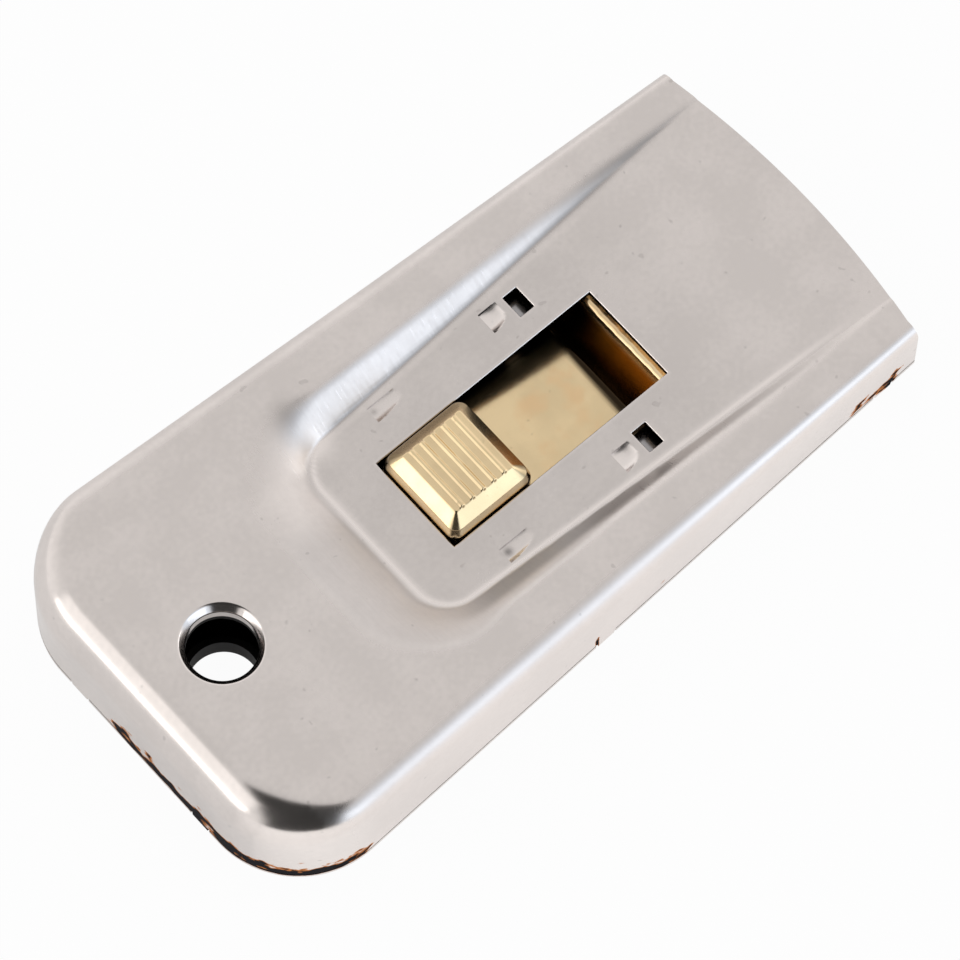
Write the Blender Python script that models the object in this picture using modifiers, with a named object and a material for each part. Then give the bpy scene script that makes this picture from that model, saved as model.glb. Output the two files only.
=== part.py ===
"""Glass scraper with a blade that slides out of a wedge-shaped pressed steel housing.

Metres, +Z up. +X points to the blade end and +Y to the left, and the origin lies on the ground
under the middle of the housing. The blade is drawn in, as the scraper is carried.
"""
import math

import bmesh
import bpy
from mathutils import Matrix, Vector

# Housing in plan
LENGTH = 0.096
FRONT_WIDTH = 0.042            # across the front corners
REAR_WIDTH = 0.050             # across the straight sides, carried on to the rear end
FRONT_BOW = 0.0016             # how far the middle of the front edge stands ahead of its corners
REAR_CORNER_RADIUS = 0.0115

# Housing in section
TONGUE_HEIGHT = 0.0085         # top of the sunk tongue above the ground
FRONT_STEP = 0.00015           # what is left of the tongue's depth at the front edge
REAR_HEIGHT = 0.0145
COVER_SHEET = 0.0008
BASE_SHEET = 0.0008
TOP_BEND_RADIUS = 0.0019
GAP = 0.0003                   # between pieces that touch

# Sunk tongue in the cover
TONGUE_REAR_MARGIN = 0.0070    # from the window's rear edge back to the tongue's foot
TONGUE_REAR_WIDTH = 0.0242
TONGUE_FRONT_WIDTH = 0.0318
TONGUE_CORNER_RADIUS = 0.0045
TONGUE_SIDE_SLOPE = math.radians(45)
TONGUE_REAR_SLOPE = math.radians(36)

# Thumb window, set back from the front edge
WINDOW_SETBACK = 0.0255
WINDOW_LENGTH = 0.0310
WINDOW_WIDTH = 0.0128

# Hanging hole, set in from the rear end
HANGING_SETBACK = 0.0120
HANGING_RADIUS = 0.0040
HANGING_FUNNEL = 0.0010        # how much wider the drawn edge is at the roof
HANGING_COLLAR = 0.0024        # how deep the drawn edge hangs
BASE_HOLE_RADIUS = 0.0043
BASE_COLLAR_HEIGHT = 0.0038
COLLAR_WALL = 0.0006

# Catch holes that lock the blade out, and the lances beside the window
CATCH_SETBACK = 0.0067         # from the window's front edge back to the hole's middle
CATCH_SIZE = (0.0020, 0.0030)
CATCH_OFFSET = 0.0106          # from the middle line
LANCE_DEPTH = 0.0007
LANCE_OFFSET = 0.0109
REAR_LANCE_SIZE = (0.0042, 0.0020)
FRONT_LANCE_SIZE = (0.0026, 0.0028)
LANCE_TO_CATCH = 0.0031        # front lance's middle to the catch hole's middle
LANCE_MARGIN = 0.0003          # how much wider a lance is under the sheet than in it

# Foot lugs that hold the cover on the base
LUG_LENGTH = 0.0025
LUG_REVEAL = 0.0001            # a lug ends this far above the ground
MID_LUG_SETBACK = 0.0490       # from the front end
FRONT_LUG_SETBACK = 0.0065
REAR_LUG_OFFSET = 0.0100       # from the middle line, on the rear edge

# Thumb button
BUTTON_WIDTH = 0.0122
BUTTON_LENGTH = 0.0116
BUTTON_RISE = 0.0027           # top above the tongue
BUTTON_SIDE_RUN = 0.0019       # how far the side slopes lean in
BUTTON_END_RUN = 0.0016
BUTTON_SHEET = 0.0005
BUTTON_CORNER_RADIUS = 0.0009
RIB_COUNT = 5
RIB_PITCH = 0.0015
RIB_RADIUS = 0.0005
RIB_RISE = 0.0003
RIB_MARGIN = 0.0003            # from a rib's end to the edge of the flat top
TAB_LENGTH = 0.0030
TAB_FOLD = 0.0014
TAB_INSET = 0.00003            # tab's outer face inside the cap's side

# Blade carrier
CARRIER_SHEET = 0.0006
PRESS_TRAVEL = 0.0006          # how far the button presses down to free the pips
PIP_HEIGHT = 0.0008
PIP_SIZE = (0.0015, 0.0025)
DECK_TAIL = 0.0070             # how far the deck runs back past the button
DECK_WIDTH = 0.0270
SCOOP_WIDTH = 0.0180
SCOOP_LEAD = 0.0062            # from the button's front back to where the floor starts to fall
SCOOP_TOE = 0.0047             # from the window's front edge back to the end of the floor's fall
FRONT_WALL_RADIUS = 0.0030
LIP_SETBACK = 0.0007           # front wall's middle plane behind the window's front edge
LIP_CLEARANCE = 0.0004         # lip under the cover
LIP_FLAT = 0.0013

# Blade, standard single-edge size
BLADE_LENGTH = 0.0384
BLADE_DEPTH = 0.0190
BLADE_THICKNESS = 0.00025
BLADE_BEVEL = 0.0009
BLADE_NOTCH = (0.0024, 0.0012)
BLADE_NOTCH_SETBACK = 0.0075   # from the blade's rear edge to the notch's middle
SPINE_DEPTH = 0.0046
SPINE_THICKNESS = 0.0010
SPINE_WALL = 0.00028
SPINE_LEAD = 0.0004            # spine's rear ahead of the window's front edge

# Jaws
JAW_WIDTH = 0.0372
JAW_HOOK = 0.0005              # jaw's flat runs this far past the spine
ARM_WIDTH = 0.0070
ARM_OFFSET = 0.0140
ARM_TAIL = 0.0090              # from the rivets' line back to the arm's end, and forward to its joggle
JOGGLE_RUN = 0.0030

# Rivets
JAW_RIVET_RADIUS = 0.0012
JAW_RIVET_SETBACK = 0.0095     # behind the window's front edge
SPRING_RIVET_RADIUS = 0.0010
RIVET_HEAD_RATIO = 1.75
RIVET_HEAD_HEIGHT = 0.0005

# Pressure spring
SPRING_SHEET = 0.0004
SPRING_WIDTH = 0.0060
SPRING_BEHIND_BUTTON = 0.0034  # its rivet behind the button's rear edge
SPRING_TO_COLLAR = 0.0079      # from the base's collar to the spring's rear foot

# Round shapes
CORNER_STEPS = 7
BEND_STEPS = 3
HOLE_STEPS = 28
RIVET_STEPS = 16
WELD_DISTANCE = 0.000002

# Worked out from the sizes above
FRONT_X = LENGTH / 2
REAR_X = -LENGTH / 2
CORNER_X = FRONT_X - FRONT_BOW
FOOT_Z = BASE_SHEET + GAP
FRONT_HEIGHT = TONGUE_HEIGHT + FRONT_STEP
ROOF_SLOPE = (REAR_HEIGHT - FRONT_HEIGHT) / LENGTH
SIDE_TAPER = (REAR_WIDTH - FRONT_WIDTH) / 2 / (CORNER_X - REAR_X)
SIDE_ANGLE = math.atan(SIDE_TAPER)
WINDOW_FRONT_X = FRONT_X - WINDOW_SETBACK
WINDOW_REAR_X = WINDOW_FRONT_X - WINDOW_LENGTH
TONGUE_REAR_X = WINDOW_REAR_X - TONGUE_REAR_MARGIN
TONGUE_UNDER_Z = TONGUE_HEIGHT - COVER_SHEET
HANGING_X = REAR_X + HANGING_SETBACK
CATCH_X = WINDOW_FRONT_X - CATCH_SETBACK
BUTTON_REAR_X = WINDOW_REAR_X + GAP
BUTTON_FRONT_X = BUTTON_REAR_X + BUTTON_LENGTH
BUTTON_X = (BUTTON_REAR_X + BUTTON_FRONT_X) / 2
SLIDE_TRAVEL = WINDOW_LENGTH - BUTTON_LENGTH - 2 * GAP
PIP_X = CATCH_X - SLIDE_TRAVEL
DECK_TOP_Z = TONGUE_UNDER_Z - LANCE_DEPTH - GAP - PIP_HEIGHT
DECK_MID_Z = DECK_TOP_Z - CARRIER_SHEET / 2
DECK_UNDER_Z = DECK_TOP_Z - CARRIER_SHEET
CARRIAGE_LOW_Z = BASE_SHEET + GAP + PRESS_TRAVEL
JAW_TOP_Z = CARRIAGE_LOW_Z + CARRIER_SHEET
SPINE_LOW_Z = JAW_TOP_Z + GAP
SPINE_TOP_Z = SPINE_LOW_Z + SPINE_THICKNESS
BLADE_MID_Z = (SPINE_LOW_Z + SPINE_TOP_Z) / 2
UPPER_JAW_MID_Z = SPINE_TOP_Z + GAP + CARRIER_SHEET / 2
LIP_MID_Z = TONGUE_UNDER_Z - LIP_CLEARANCE - CARRIER_SHEET / 2
LIP_X = WINDOW_FRONT_X - LIP_SETBACK
SPINE_REAR_X = WINDOW_FRONT_X + SPINE_LEAD
SPINE_FRONT_X = SPINE_REAR_X + SPINE_DEPTH
BLADE_REAR_X = SPINE_REAR_X + SPINE_WALL + GAP / 3
BLADE_EDGE_X = BLADE_REAR_X + BLADE_DEPTH
JAW_TIP_X = SPINE_FRONT_X + JAW_HOOK
JAW_RIVET_X = WINDOW_FRONT_X - JAW_RIVET_SETBACK
ARM_TOP_Z = DECK_UNDER_Z - GAP
SPRING_X = BUTTON_REAR_X - SPRING_BEHIND_BUTTON
SPRING_TOP_Z = DECK_UNDER_Z - GAP
COLLAR_REACH = BASE_HOLE_RADIUS + 2 * COLLAR_WALL
SPRING_REACH = SPRING_X - (HANGING_X + COLLAR_REACH + SPRING_TO_COLLAR)


def clear_scene():
    """Remove whatever the file opened with."""
    for thing in list(bpy.data.objects):
        bpy.data.objects.remove(thing)


def new_collection(name):
    """A collection linked to the scene."""
    home = bpy.data.collections.new(name)
    bpy.context.scene.collection.children.link(home)
    return home


clear_scene()
PARTS = new_collection("glass_scraper")
TOOLS = new_collection("cutters")


def place(name, mesh, home):
    """A new object for the mesh; in the cutters' collection it is hidden from the render."""
    thing = bpy.data.objects.new(name, mesh)
    home.objects.link(thing)
    if home is TOOLS:
        thing.hide_render = True
        thing.display_type = "WIRE"
    return thing


def combine(target, tool, operation):
    """Join the tool to the target or cut it out, and weld the points that the cut leaves double."""
    step = target.modifiers.new(tool.name, "BOOLEAN")
    step.operation = operation
    step.object = tool
    weld = target.modifiers.new("weld", "WELD")
    weld.merge_threshold = WELD_DISTANCE


def face_out(bm):
    """Turn a closed shape's faces outwards."""
    bmesh.ops.recalc_face_normals(bm, faces=bm.faces)
    if bm.calc_volume(signed=True) < 0:
        bmesh.ops.reverse_faces(bm, faces=bm.faces)


def cut(target, *tools):
    """Cut each tool out of the target."""
    for tool in tools:
        combine(target, tool, "DIFFERENCE")


def join(target, *tools):
    """Join each tool to the target."""
    for tool in tools:
        combine(target, tool, "UNION")


def arc(centre, radius, start, end, steps):
    """Points along a circle from one angle to another, ends included."""
    angles = [start + (end - start) * step / steps for step in range(steps + 1)]
    return [(centre[0] + radius * math.cos(a), centre[1] + radius * math.sin(a)) for a in angles]


def filleted(corners, steps=BEND_STEPS):
    """A path through corners given as (across, up, radius), each rounded to its own radius."""
    path = [corners[0][:2]]
    for before, corner, after in zip(corners, corners[1:], corners[2:]):
        if corner[2] == 0.0:
            path.append(corner[:2])
            continue
        here = Vector(corner[:2])
        back = (Vector(before[:2]) - here).normalized()
        ahead = (Vector(after[:2]) - here).normalized()
        half = back.angle(ahead) / 2
        middle = here + (back + ahead).normalized() * corner[2] / math.sin(half)
        first = here + back * corner[2] / math.tan(half) - middle
        last = here + ahead * corner[2] / math.tan(half) - middle
        turn = first.angle_signed(last)
        for step in range(steps + 1):
            point = middle + Matrix.Rotation(-turn * step / steps, 2) @ first
            path.append(tuple(point))
    path.append(corners[-1][:2])
    return path


def outline_solid(name, outline, low, high, home, across=False):
    """A closed outline given thickness from low to high.

    The outline lies in plan and is given its thickness along Z. With across set, it lies in the
    XZ plane, as a side view, and is given its thickness along Y.
    """
    curve = bpy.data.curves.new(name, "CURVE")
    curve.dimensions = "2D"
    curve.fill_mode = "BOTH"
    curve.extrude = (high - low) / 2
    spline = curve.splines.new("POLY")
    spline.points.add(len(outline) - 1)
    for point, (u, v) in zip(spline.points, outline):
        point.co = (u, v, 0.0, 1.0)
    spline.use_cyclic_u = True
    guide = place(name, curve, TOOLS)
    middle = (low + high) / 2
    guide.location = (0.0, middle, 0.0) if across else (0.0, 0.0, middle)
    guide.rotation_euler.x = math.pi / 2 if across else 0.0
    bpy.context.view_layer.update()
    shape = guide.evaluated_get(bpy.context.evaluated_depsgraph_get())
    mesh = bpy.data.meshes.new_from_object(shape)
    mesh.transform(guide.matrix_world)
    bpy.data.objects.remove(guide)
    bm = bmesh.new()
    bm.from_mesh(mesh)
    bmesh.ops.remove_doubles(bm, verts=bm.verts, dist=1e-7)
    bmesh.ops.dissolve_limit(bm, angle_limit=math.radians(0.2), verts=bm.verts, edges=bm.edges)
    face_out(bm)
    bm.to_mesh(mesh)
    bm.free()
    return place(name, mesh, home)


def box(name, low, high, home):
    """A box between two corners."""
    bm = bmesh.new()
    bmesh.ops.create_cube(bm, size=1.0)
    size = Vector(high) - Vector(low)
    bmesh.ops.scale(bm, vec=size, verts=bm.verts)
    bmesh.ops.translate(bm, vec=(Vector(high) + Vector(low)) / 2, verts=bm.verts)
    mesh = bpy.data.meshes.new(name)
    bm.to_mesh(mesh)
    bm.free()
    return place(name, mesh, home)


def turned(name, profile, centre, steps, home):
    """A profile of (radius, height) points, listed from the top down, turned round the Z axis."""
    mesh = bpy.data.meshes.new(name)
    edges = [(i, i + 1) for i in range(len(profile) - 1)]
    mesh.from_pydata([(radius, 0.0, height) for radius, height in profile], edges, [])
    thing = place(name, mesh, home)
    thing.location = (centre[0], centre[1], 0.0)
    screw = thing.modifiers.new("turn", "SCREW")
    screw.steps = screw.render_steps = steps
    screw.use_merge_vertices = True
    screw.merge_threshold = 0.00001
    return thing


def round_bar(name, radius, low, high, centre, home, steps=HOLE_STEPS):
    """An upright cylinder."""
    return turned(name, [(0, high), (radius, high), (radius, low), (0, low)], centre, steps, home)


def bent_sheet(name, path, thickness, low, high, home):
    """A strip of sheet bent along a side-view path and running from low to high along Y."""
    bm = bmesh.new()
    near = [bm.verts.new((x, low, z)) for x, z in path]
    far = [bm.verts.new((x, high, z)) for x, z in path]
    for i in range(len(path) - 1):
        bm.faces.new((near[i], near[i + 1], far[i + 1], far[i]))
    mesh = bpy.data.meshes.new(name)
    bm.to_mesh(mesh)
    bm.free()
    thing = place(name, mesh, home)
    wall = thing.modifiers.new("sheet", "SOLIDIFY")
    wall.thickness = thickness
    wall.offset = 0.0
    wall.use_even_offset = True
    return thing


def loft(name, rings, home):
    """A solid through rings of points with the same count, listed from the lowest up."""
    bm = bmesh.new()
    loops = [[bm.verts.new(point) for point in ring] for ring in rings]
    count = len(rings[0])
    bm.faces.new(list(reversed(loops[0])))
    bm.faces.new(loops[-1])
    for lower, upper in zip(loops, loops[1:]):
        for i in range(count):
            j = (i + 1) % count
            bm.faces.new((lower[i], lower[j], upper[j], upper[i]))
    face_out(bm)
    mesh = bpy.data.meshes.new(name)
    bm.to_mesh(mesh)
    bm.free()
    return place(name, mesh, home)


def finish(thing, colour, roughness, smooth_angle=math.radians(30)):
    """Give the object its own metal, and smooth shading where it bends gently."""
    metal = bpy.data.materials.new(thing.name)
    metal.use_nodes = True
    shader = metal.node_tree.nodes["Principled BSDF"]
    shader.inputs["Base Color"].default_value = (*colour, 1.0)
    shader.inputs["Roughness"].default_value = roughness
    shader.inputs["Metallic"].default_value = 1.0
    thing.data.materials.append(metal)
    thing.data.shade_smooth()
    thing.data.set_sharp_from_angle(angle=smooth_angle)


NICKEL = (0.56, 0.52, 0.49)
BRASS = (0.72, 0.55, 0.28)
BLADE_STEEL = (0.60, 0.61, 0.63)
SPRING_STEEL = (0.30, 0.31, 0.33)


def roof_height(x):
    """Height of the cover's roof, which falls evenly from the rear end to the front edge."""
    return FRONT_HEIGHT + (FRONT_X - x) * ROOF_SLOPE


def side_y(x, inset=0.0):
    """Distance of the left side from the middle line."""
    return FRONT_WIDTH / 2 + (CORNER_X - x) * SIDE_TAPER - inset / math.cos(SIDE_ANGLE)


def housing_outline(inset=0.0, past_front=None):
    """Plan outline of the housing, moved in by inset.

    The front edge is an arc through the corners, or a straight line past_front ahead of the
    front end where the outline is a cutter that opens the mouth.
    """
    if past_front is None:
        half = side_y(CORNER_X, inset)
        radius = (half ** 2 + FRONT_BOW ** 2) / (2 * FRONT_BOW)
        reach = math.asin(half / radius)
        left = arc((FRONT_X - radius, 0.0), radius, 0.0, reach, CORNER_STEPS)
    else:
        x = FRONT_X + past_front
        left = [(x, 0.0), (x, side_y(x, inset))]
    radius = REAR_CORNER_RADIUS
    centre_x = REAR_X + radius
    centre_y = side_y(centre_x) - radius / math.cos(SIDE_ANGLE)
    left += arc((centre_x, centre_y), radius - inset, math.pi / 2 - SIDE_ANGLE, math.pi, CORNER_STEPS)
    right = [(x, -y) for x, y in reversed(left) if y > 1e-6]
    return left + right


def housing_block(name, inset, bottom, drop, bend, home, past_front=None):
    """The housing's block shape under a roof that lies drop below the cover's, its roof edge bent."""
    outline = housing_outline(inset, past_front)
    block = outline_solid(name, outline, bottom, REAR_HEIGHT, home)
    middle = (bottom + REAR_HEIGHT) / 2
    bm = bmesh.new()
    bm.from_mesh(block.data)
    top = [v for v in bm.verts if v.co.z > middle]
    for vert in top:
        vert.co.z = roof_height(vert.co.x) - drop
    ahead = CORNER_X - GAP
    rim = [
        edge for edge in bm.edges
        if all(v in top for v in edge.verts) and any(v.co.x < ahead for v in edge.verts)
    ]
    bmesh.ops.bevel(bm, geom=rim, offset=bend, segments=BEND_STEPS, profile=0.5, affect="EDGES")
    bm.to_mesh(block.data)
    bm.free()
    return block


def tongue_ring(height, grow_side, grow_rear):
    """The sunk tongue's outline at a height, grown sideways and to the rear from its foot."""
    radius = TONGUE_CORNER_RADIUS
    run = FRONT_X - TONGUE_REAR_X
    taper = (TONGUE_FRONT_WIDTH - TONGUE_REAR_WIDTH) / 2 / run
    front = FRONT_X + 0.004
    corner_y = TONGUE_REAR_WIDTH / 2 + taper * radius - radius
    left = [(front, corner_y + radius + taper * (front - TONGUE_REAR_X - radius) + grow_side)]
    for x, y in arc((0.0, 0.0), 1.0, math.pi / 2, math.pi, CORNER_STEPS):
        left.append((
            TONGUE_REAR_X + radius + x * (radius + grow_rear),
            corner_y + y * (radius + grow_side),
        ))
    right = [(x, -y) for x, y in reversed(left)]
    return [(x, y, height) for x, y in left + right]


def tongue_cutter(name, sheet):
    """What the sunk tongue takes away, on its outer face or a sheet's thickness under it."""
    low = TONGUE_HEIGHT - sheet
    high = REAR_HEIGHT + 0.001
    side = sheet * math.tan(TONGUE_SIDE_SLOPE / 2)
    rear = sheet * math.tan(TONGUE_REAR_SLOPE / 2)
    rings = [
        tongue_ring(low, side, rear),
        tongue_ring(
            high,
            side + (high - low) / math.tan(TONGUE_SIDE_SLOPE),
            rear + (high - low) / math.tan(TONGUE_REAR_SLOPE),
        ),
    ]
    return loft(name, rings, TOOLS)


def ramp(name, x, y, size, low_rear, low_front, high, margin):
    """A pressed-down ramp: a side view with its floor falling to the rear, given its width."""
    rear = x - size[0] / 2 - margin
    front = x + size[0] / 2 + margin
    side_view = [(rear, low_rear), (front, low_front), (front, high), (rear, high)]
    half = size[1] / 2 + margin
    return outline_solid(name, side_view, y - half, y + half, TOOLS, across=True)


def lug_boxes(name, length, depth, low, high):
    """Boxes round the foot of the wall where the lugs stand, one for each lug."""
    boxes = []
    for x in (FRONT_X - MID_LUG_SETBACK, FRONT_X - FRONT_LUG_SETBACK):
        inner = side_y(x, depth)
        outer = side_y(x) + 0.001
        for tag, y0, y1 in (("left", inner, outer), ("right", -outer, -inner)):
            corner = (x - length / 2, y0, low)
            boxes.append(box(f"{name}_{tag}_{len(boxes)}", corner, (x + length / 2, y1, high), TOOLS))
    for y in (-REAR_LUG_OFFSET, REAR_LUG_OFFSET):
        corner = (REAR_X - 0.001, y - length / 2, low)
        far = (REAR_X + depth, y + length / 2, high)
        boxes.append(box(f"{name}_rear_{len(boxes)}", corner, far, TOOLS))
    return boxes


def make_top_cover():
    """The pressed cover: roof, walls, sunk tongue, window, catches, lances, hanging hole and lugs."""
    cover = housing_block("top_cover", 0.0, LUG_REVEAL, 0.0, TOP_BEND_RADIUS, PARTS)
    foot = box(
        "foot_trim",
        (REAR_X - 0.002, -REAR_WIDTH, -0.001),
        (FRONT_X + 0.002, REAR_WIDTH, FOOT_Z),
        TOOLS,
    )
    cut(foot, *lug_boxes("lug", LUG_LENGTH, COVER_SHEET + GAP, -0.002, FOOT_Z + 0.002))
    inside = housing_block(
        "cover_inside",
        COVER_SHEET,
        -0.001,
        COVER_SHEET / math.cos(math.atan(ROOF_SLOPE)),
        TOP_BEND_RADIUS - COVER_SHEET,
        TOOLS,
        past_front=0.003,
    )
    cut(inside, tongue_cutter("tongue_under", COVER_SHEET))
    cut(cover, tongue_cutter("tongue_over", 0.0), inside, foot)
    roof = roof_height(HANGING_X)
    drop = roof - HANGING_COLLAR
    wall = HANGING_RADIUS + COLLAR_WALL
    collar = turned(
        "hanging_collar",
        [(0, roof - COVER_SHEET / 2), (wall + HANGING_FUNNEL, roof - COVER_SHEET / 2), (wall, roof - COVER_SHEET * 2),
         (wall, drop), (0, drop)],
        (HANGING_X, 0.0), HOLE_STEPS, TOOLS,
    )
    join(cover, collar)
    funnel_top = roof + COVER_SHEET
    funnel = turned(
        "hanging_funnel",
        [(0, funnel_top), (HANGING_RADIUS + HANGING_FUNNEL * 2, funnel_top), (HANGING_RADIUS, roof - COVER_SHEET),
         (HANGING_RADIUS, drop - 0.001), (0, drop - 0.001)],
        (HANGING_X, 0.0), HOLE_STEPS, TOOLS,
    )
    half = WINDOW_WIDTH / 2
    low = TONGUE_UNDER_Z - 0.002
    high = TONGUE_HEIGHT + 0.002
    window = box("window", (WINDOW_REAR_X, -half, low), (WINDOW_FRONT_X, half, high), TOOLS)
    cut(cover, funnel, window)
    for side, name in ((1, "left"), (-1, "right")):
        x = CATCH_X
        y = side * CATCH_OFFSET
        corner = (x - CATCH_SIZE[0] / 2, y - CATCH_SIZE[1] / 2, low)
        far = (x + CATCH_SIZE[0] / 2, y + CATCH_SIZE[1] / 2, high)
        cut(cover, box(f"catch_{name}", corner, far, TOOLS))
        lances = ((PIP_X, REAR_LANCE_SIZE, "rear"), (CATCH_X - LANCE_TO_CATCH, FRONT_LANCE_SIZE, "front"))
        for lance_x, size, end in lances:
            spot = (lance_x, side * LANCE_OFFSET, size)
            under = TONGUE_UNDER_Z
            lump = ramp(
                f"{end}_lump_{name}", *spot, under - LANCE_DEPTH, under - GAP / 3, under + COVER_SHEET / 3,
                LANCE_MARGIN,
            )
            join(cover, lump)
            dent = ramp(
                f"{end}_dent_{name}", *spot, TONGUE_HEIGHT - LANCE_DEPTH, TONGUE_HEIGHT - GAP / 3, high, 0.0
            )
            cut(cover, dent)
    finish(cover, NICKEL, 0.35)
    return cover


def make_base_plate():
    """The flat bottom sheet, notched for the lugs, with a collar drawn up round its hanging hole."""
    base = outline_solid("base_plate", housing_outline(), 0.0, BASE_SHEET, PARTS)
    top = BASE_COLLAR_HEIGHT
    wall = BASE_HOLE_RADIUS + COLLAR_WALL
    middle = BASE_SHEET / 2
    collar = turned(
        "base_collar",
        [(0, top), (wall, top), (wall, BASE_SHEET * 2), (COLLAR_REACH, middle), (0, middle)],
        (HANGING_X, 0.0), HOLE_STEPS, TOOLS,
    )
    join(base, collar)
    cut(base, round_bar("base_hole", BASE_HOLE_RADIUS, -0.001, top + 0.001, (HANGING_X, 0.0), TOOLS))
    cut(base, *lug_boxes("notch", LUG_LENGTH + 2 * GAP, COVER_SHEET + GAP, -0.001, FOOT_Z))
    finish(base, NICKEL, 0.35)
    return base


def make_blade_carrier():
    """The brass pressing that slides: deck, falling floor, front wall, lip and upper jaw."""
    half = SCOOP_WIDTH / 2
    seam = half - CARRIER_SHEET / 2
    scoop_x = BUTTON_FRONT_X - SCOOP_LEAD
    slope_x = LIP_X + LIP_FLAT
    deck_front = slope_x + (LIP_MID_Z - DECK_MID_Z) - CARRIER_SHEET / 2
    jaw_x = deck_front + (DECK_MID_Z - UPPER_JAW_MID_Z)
    wide = JAW_WIDTH / 2
    narrow = DECK_WIDTH / 2
    neck = JAW_RIVET_X - ARM_TAIL / 2
    tail = BUTTON_REAR_X - DECK_TAIL
    left = [
        (scoop_x, 0.0), (scoop_x, seam), (deck_front, seam), (deck_front, wide),
        (neck, wide), (neck - (wide - narrow), narrow), (tail, narrow),
    ]
    right = [(x, -y) for x, y in reversed(left) if y > 0]
    carrier = outline_solid("blade_carrier", left[1:] + right, DECK_UNDER_Z, DECK_TOP_Z, PARTS)
    toe_x = WINDOW_FRONT_X - SCOOP_TOE
    floor_z = CARRIAGE_LOW_Z + CARRIER_SHEET / 2
    bend = CARRIER_SHEET * 1.2
    scoop_corners = [
        (scoop_x, DECK_MID_Z, 0.0),
        (toe_x, floor_z, 0.0),
        (LIP_X, floor_z, FRONT_WALL_RADIUS),
        (LIP_X, LIP_MID_Z, bend),
        (slope_x, LIP_MID_Z, bend),
        (deck_front + CARRIER_SHEET, DECK_MID_Z - CARRIER_SHEET / 2, 0.0),
    ]
    nose_corners = [
        (deck_front - CARRIER_SHEET / 2, DECK_MID_Z - CARRIER_SHEET / 8, 0.0),
        (deck_front, DECK_MID_Z - CARRIER_SHEET / 8, 0.0),
        (jaw_x, UPPER_JAW_MID_Z, bend),
        (JAW_TIP_X, UPPER_JAW_MID_Z, CARRIER_SHEET * 0.6),
        (JAW_TIP_X, UPPER_JAW_MID_Z - CARRIER_SHEET * 1.2, 0.0),
    ]
    join(
        carrier,
        bent_sheet("scoop", filleted(scoop_corners), CARRIER_SHEET, -seam, seam, TOOLS),
        bent_sheet("nose", filleted(nose_corners), CARRIER_SHEET, -wide, wide, TOOLS),
    )
    trough_side = filleted(scoop_corners[:3] + [(LIP_X, DECK_MID_Z, 0.0)])
    hood_side = filleted([(LIP_X, DECK_MID_Z, 0.0)] + scoop_corners[3:5] + [(deck_front, DECK_MID_Z, 0.0)])
    for side, name in ((1, "left"), (-1, "right")):
        y0, y1 = sorted((side * (half - CARRIER_SHEET), side * half))
        trough = outline_solid(f"trough_side_{name}", trough_side, y0, y1, TOOLS, across=True)
        hood = outline_solid(f"hood_side_{name}", hood_side, y0, y1, TOOLS, across=True)
        join(carrier, trough, hood)
        pip_y = side * CATCH_OFFSET
        corner = (PIP_X - PIP_SIZE[0] / 2, pip_y - PIP_SIZE[1] / 2, DECK_MID_Z)
        far = (PIP_X + PIP_SIZE[0] / 2, pip_y + PIP_SIZE[1] / 2, DECK_TOP_Z + PIP_HEIGHT)
        join(carrier, box(f"pip_{name}", corner, far, TOOLS))
        slot_y = side * (BUTTON_WIDTH / 2 - BUTTON_SHEET / 2)
        reach = TAB_LENGTH / 2 + GAP
        corner = (BUTTON_REAR_X + TAB_FOLD, slot_y - BUTTON_SHEET / 2 - GAP, DECK_UNDER_Z - 0.001)
        far = (BUTTON_REAR_X + TAB_FOLD + 2 * reach, slot_y + BUTTON_SHEET / 2 + GAP, DECK_TOP_Z + 0.001)
        cut(carrier, box(f"tab_slot_{name}", corner, far, TOOLS))
        spot = (JAW_RIVET_X, side * ARM_OFFSET)
        low, high = DECK_UNDER_Z - 0.001, DECK_TOP_Z + 0.001
        radius = JAW_RIVET_RADIUS + GAP
        cut(carrier, round_bar(f"deck_rivet_hole_{name}", radius, low, high, spot, TOOLS, RIVET_STEPS))
    radius = SPRING_RIVET_RADIUS + GAP
    spot = (SPRING_X, 0.0)
    cut(carrier, round_bar("deck_spring_hole", radius, low, high, spot, TOOLS, RIVET_STEPS))
    finish(carrier, BRASS, 0.30)
    return carrier


def button_ring(height, inset_end, inset_side, radius):
    """The button's outline at a height: a rectangle with rounded corners."""
    ring = []
    x = BUTTON_LENGTH / 2 - inset_end - radius
    y = BUTTON_WIDTH / 2 - inset_side - radius
    for quarter, (sx, sy) in enumerate(((1, 1), (-1, 1), (-1, -1), (1, -1))):
        start = quarter * math.pi / 2
        for u, v in arc((BUTTON_X + sx * x, sy * y), radius, start, start + math.pi / 2, BEND_STEPS):
            ring.append((u, v, height))
    return ring


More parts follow.
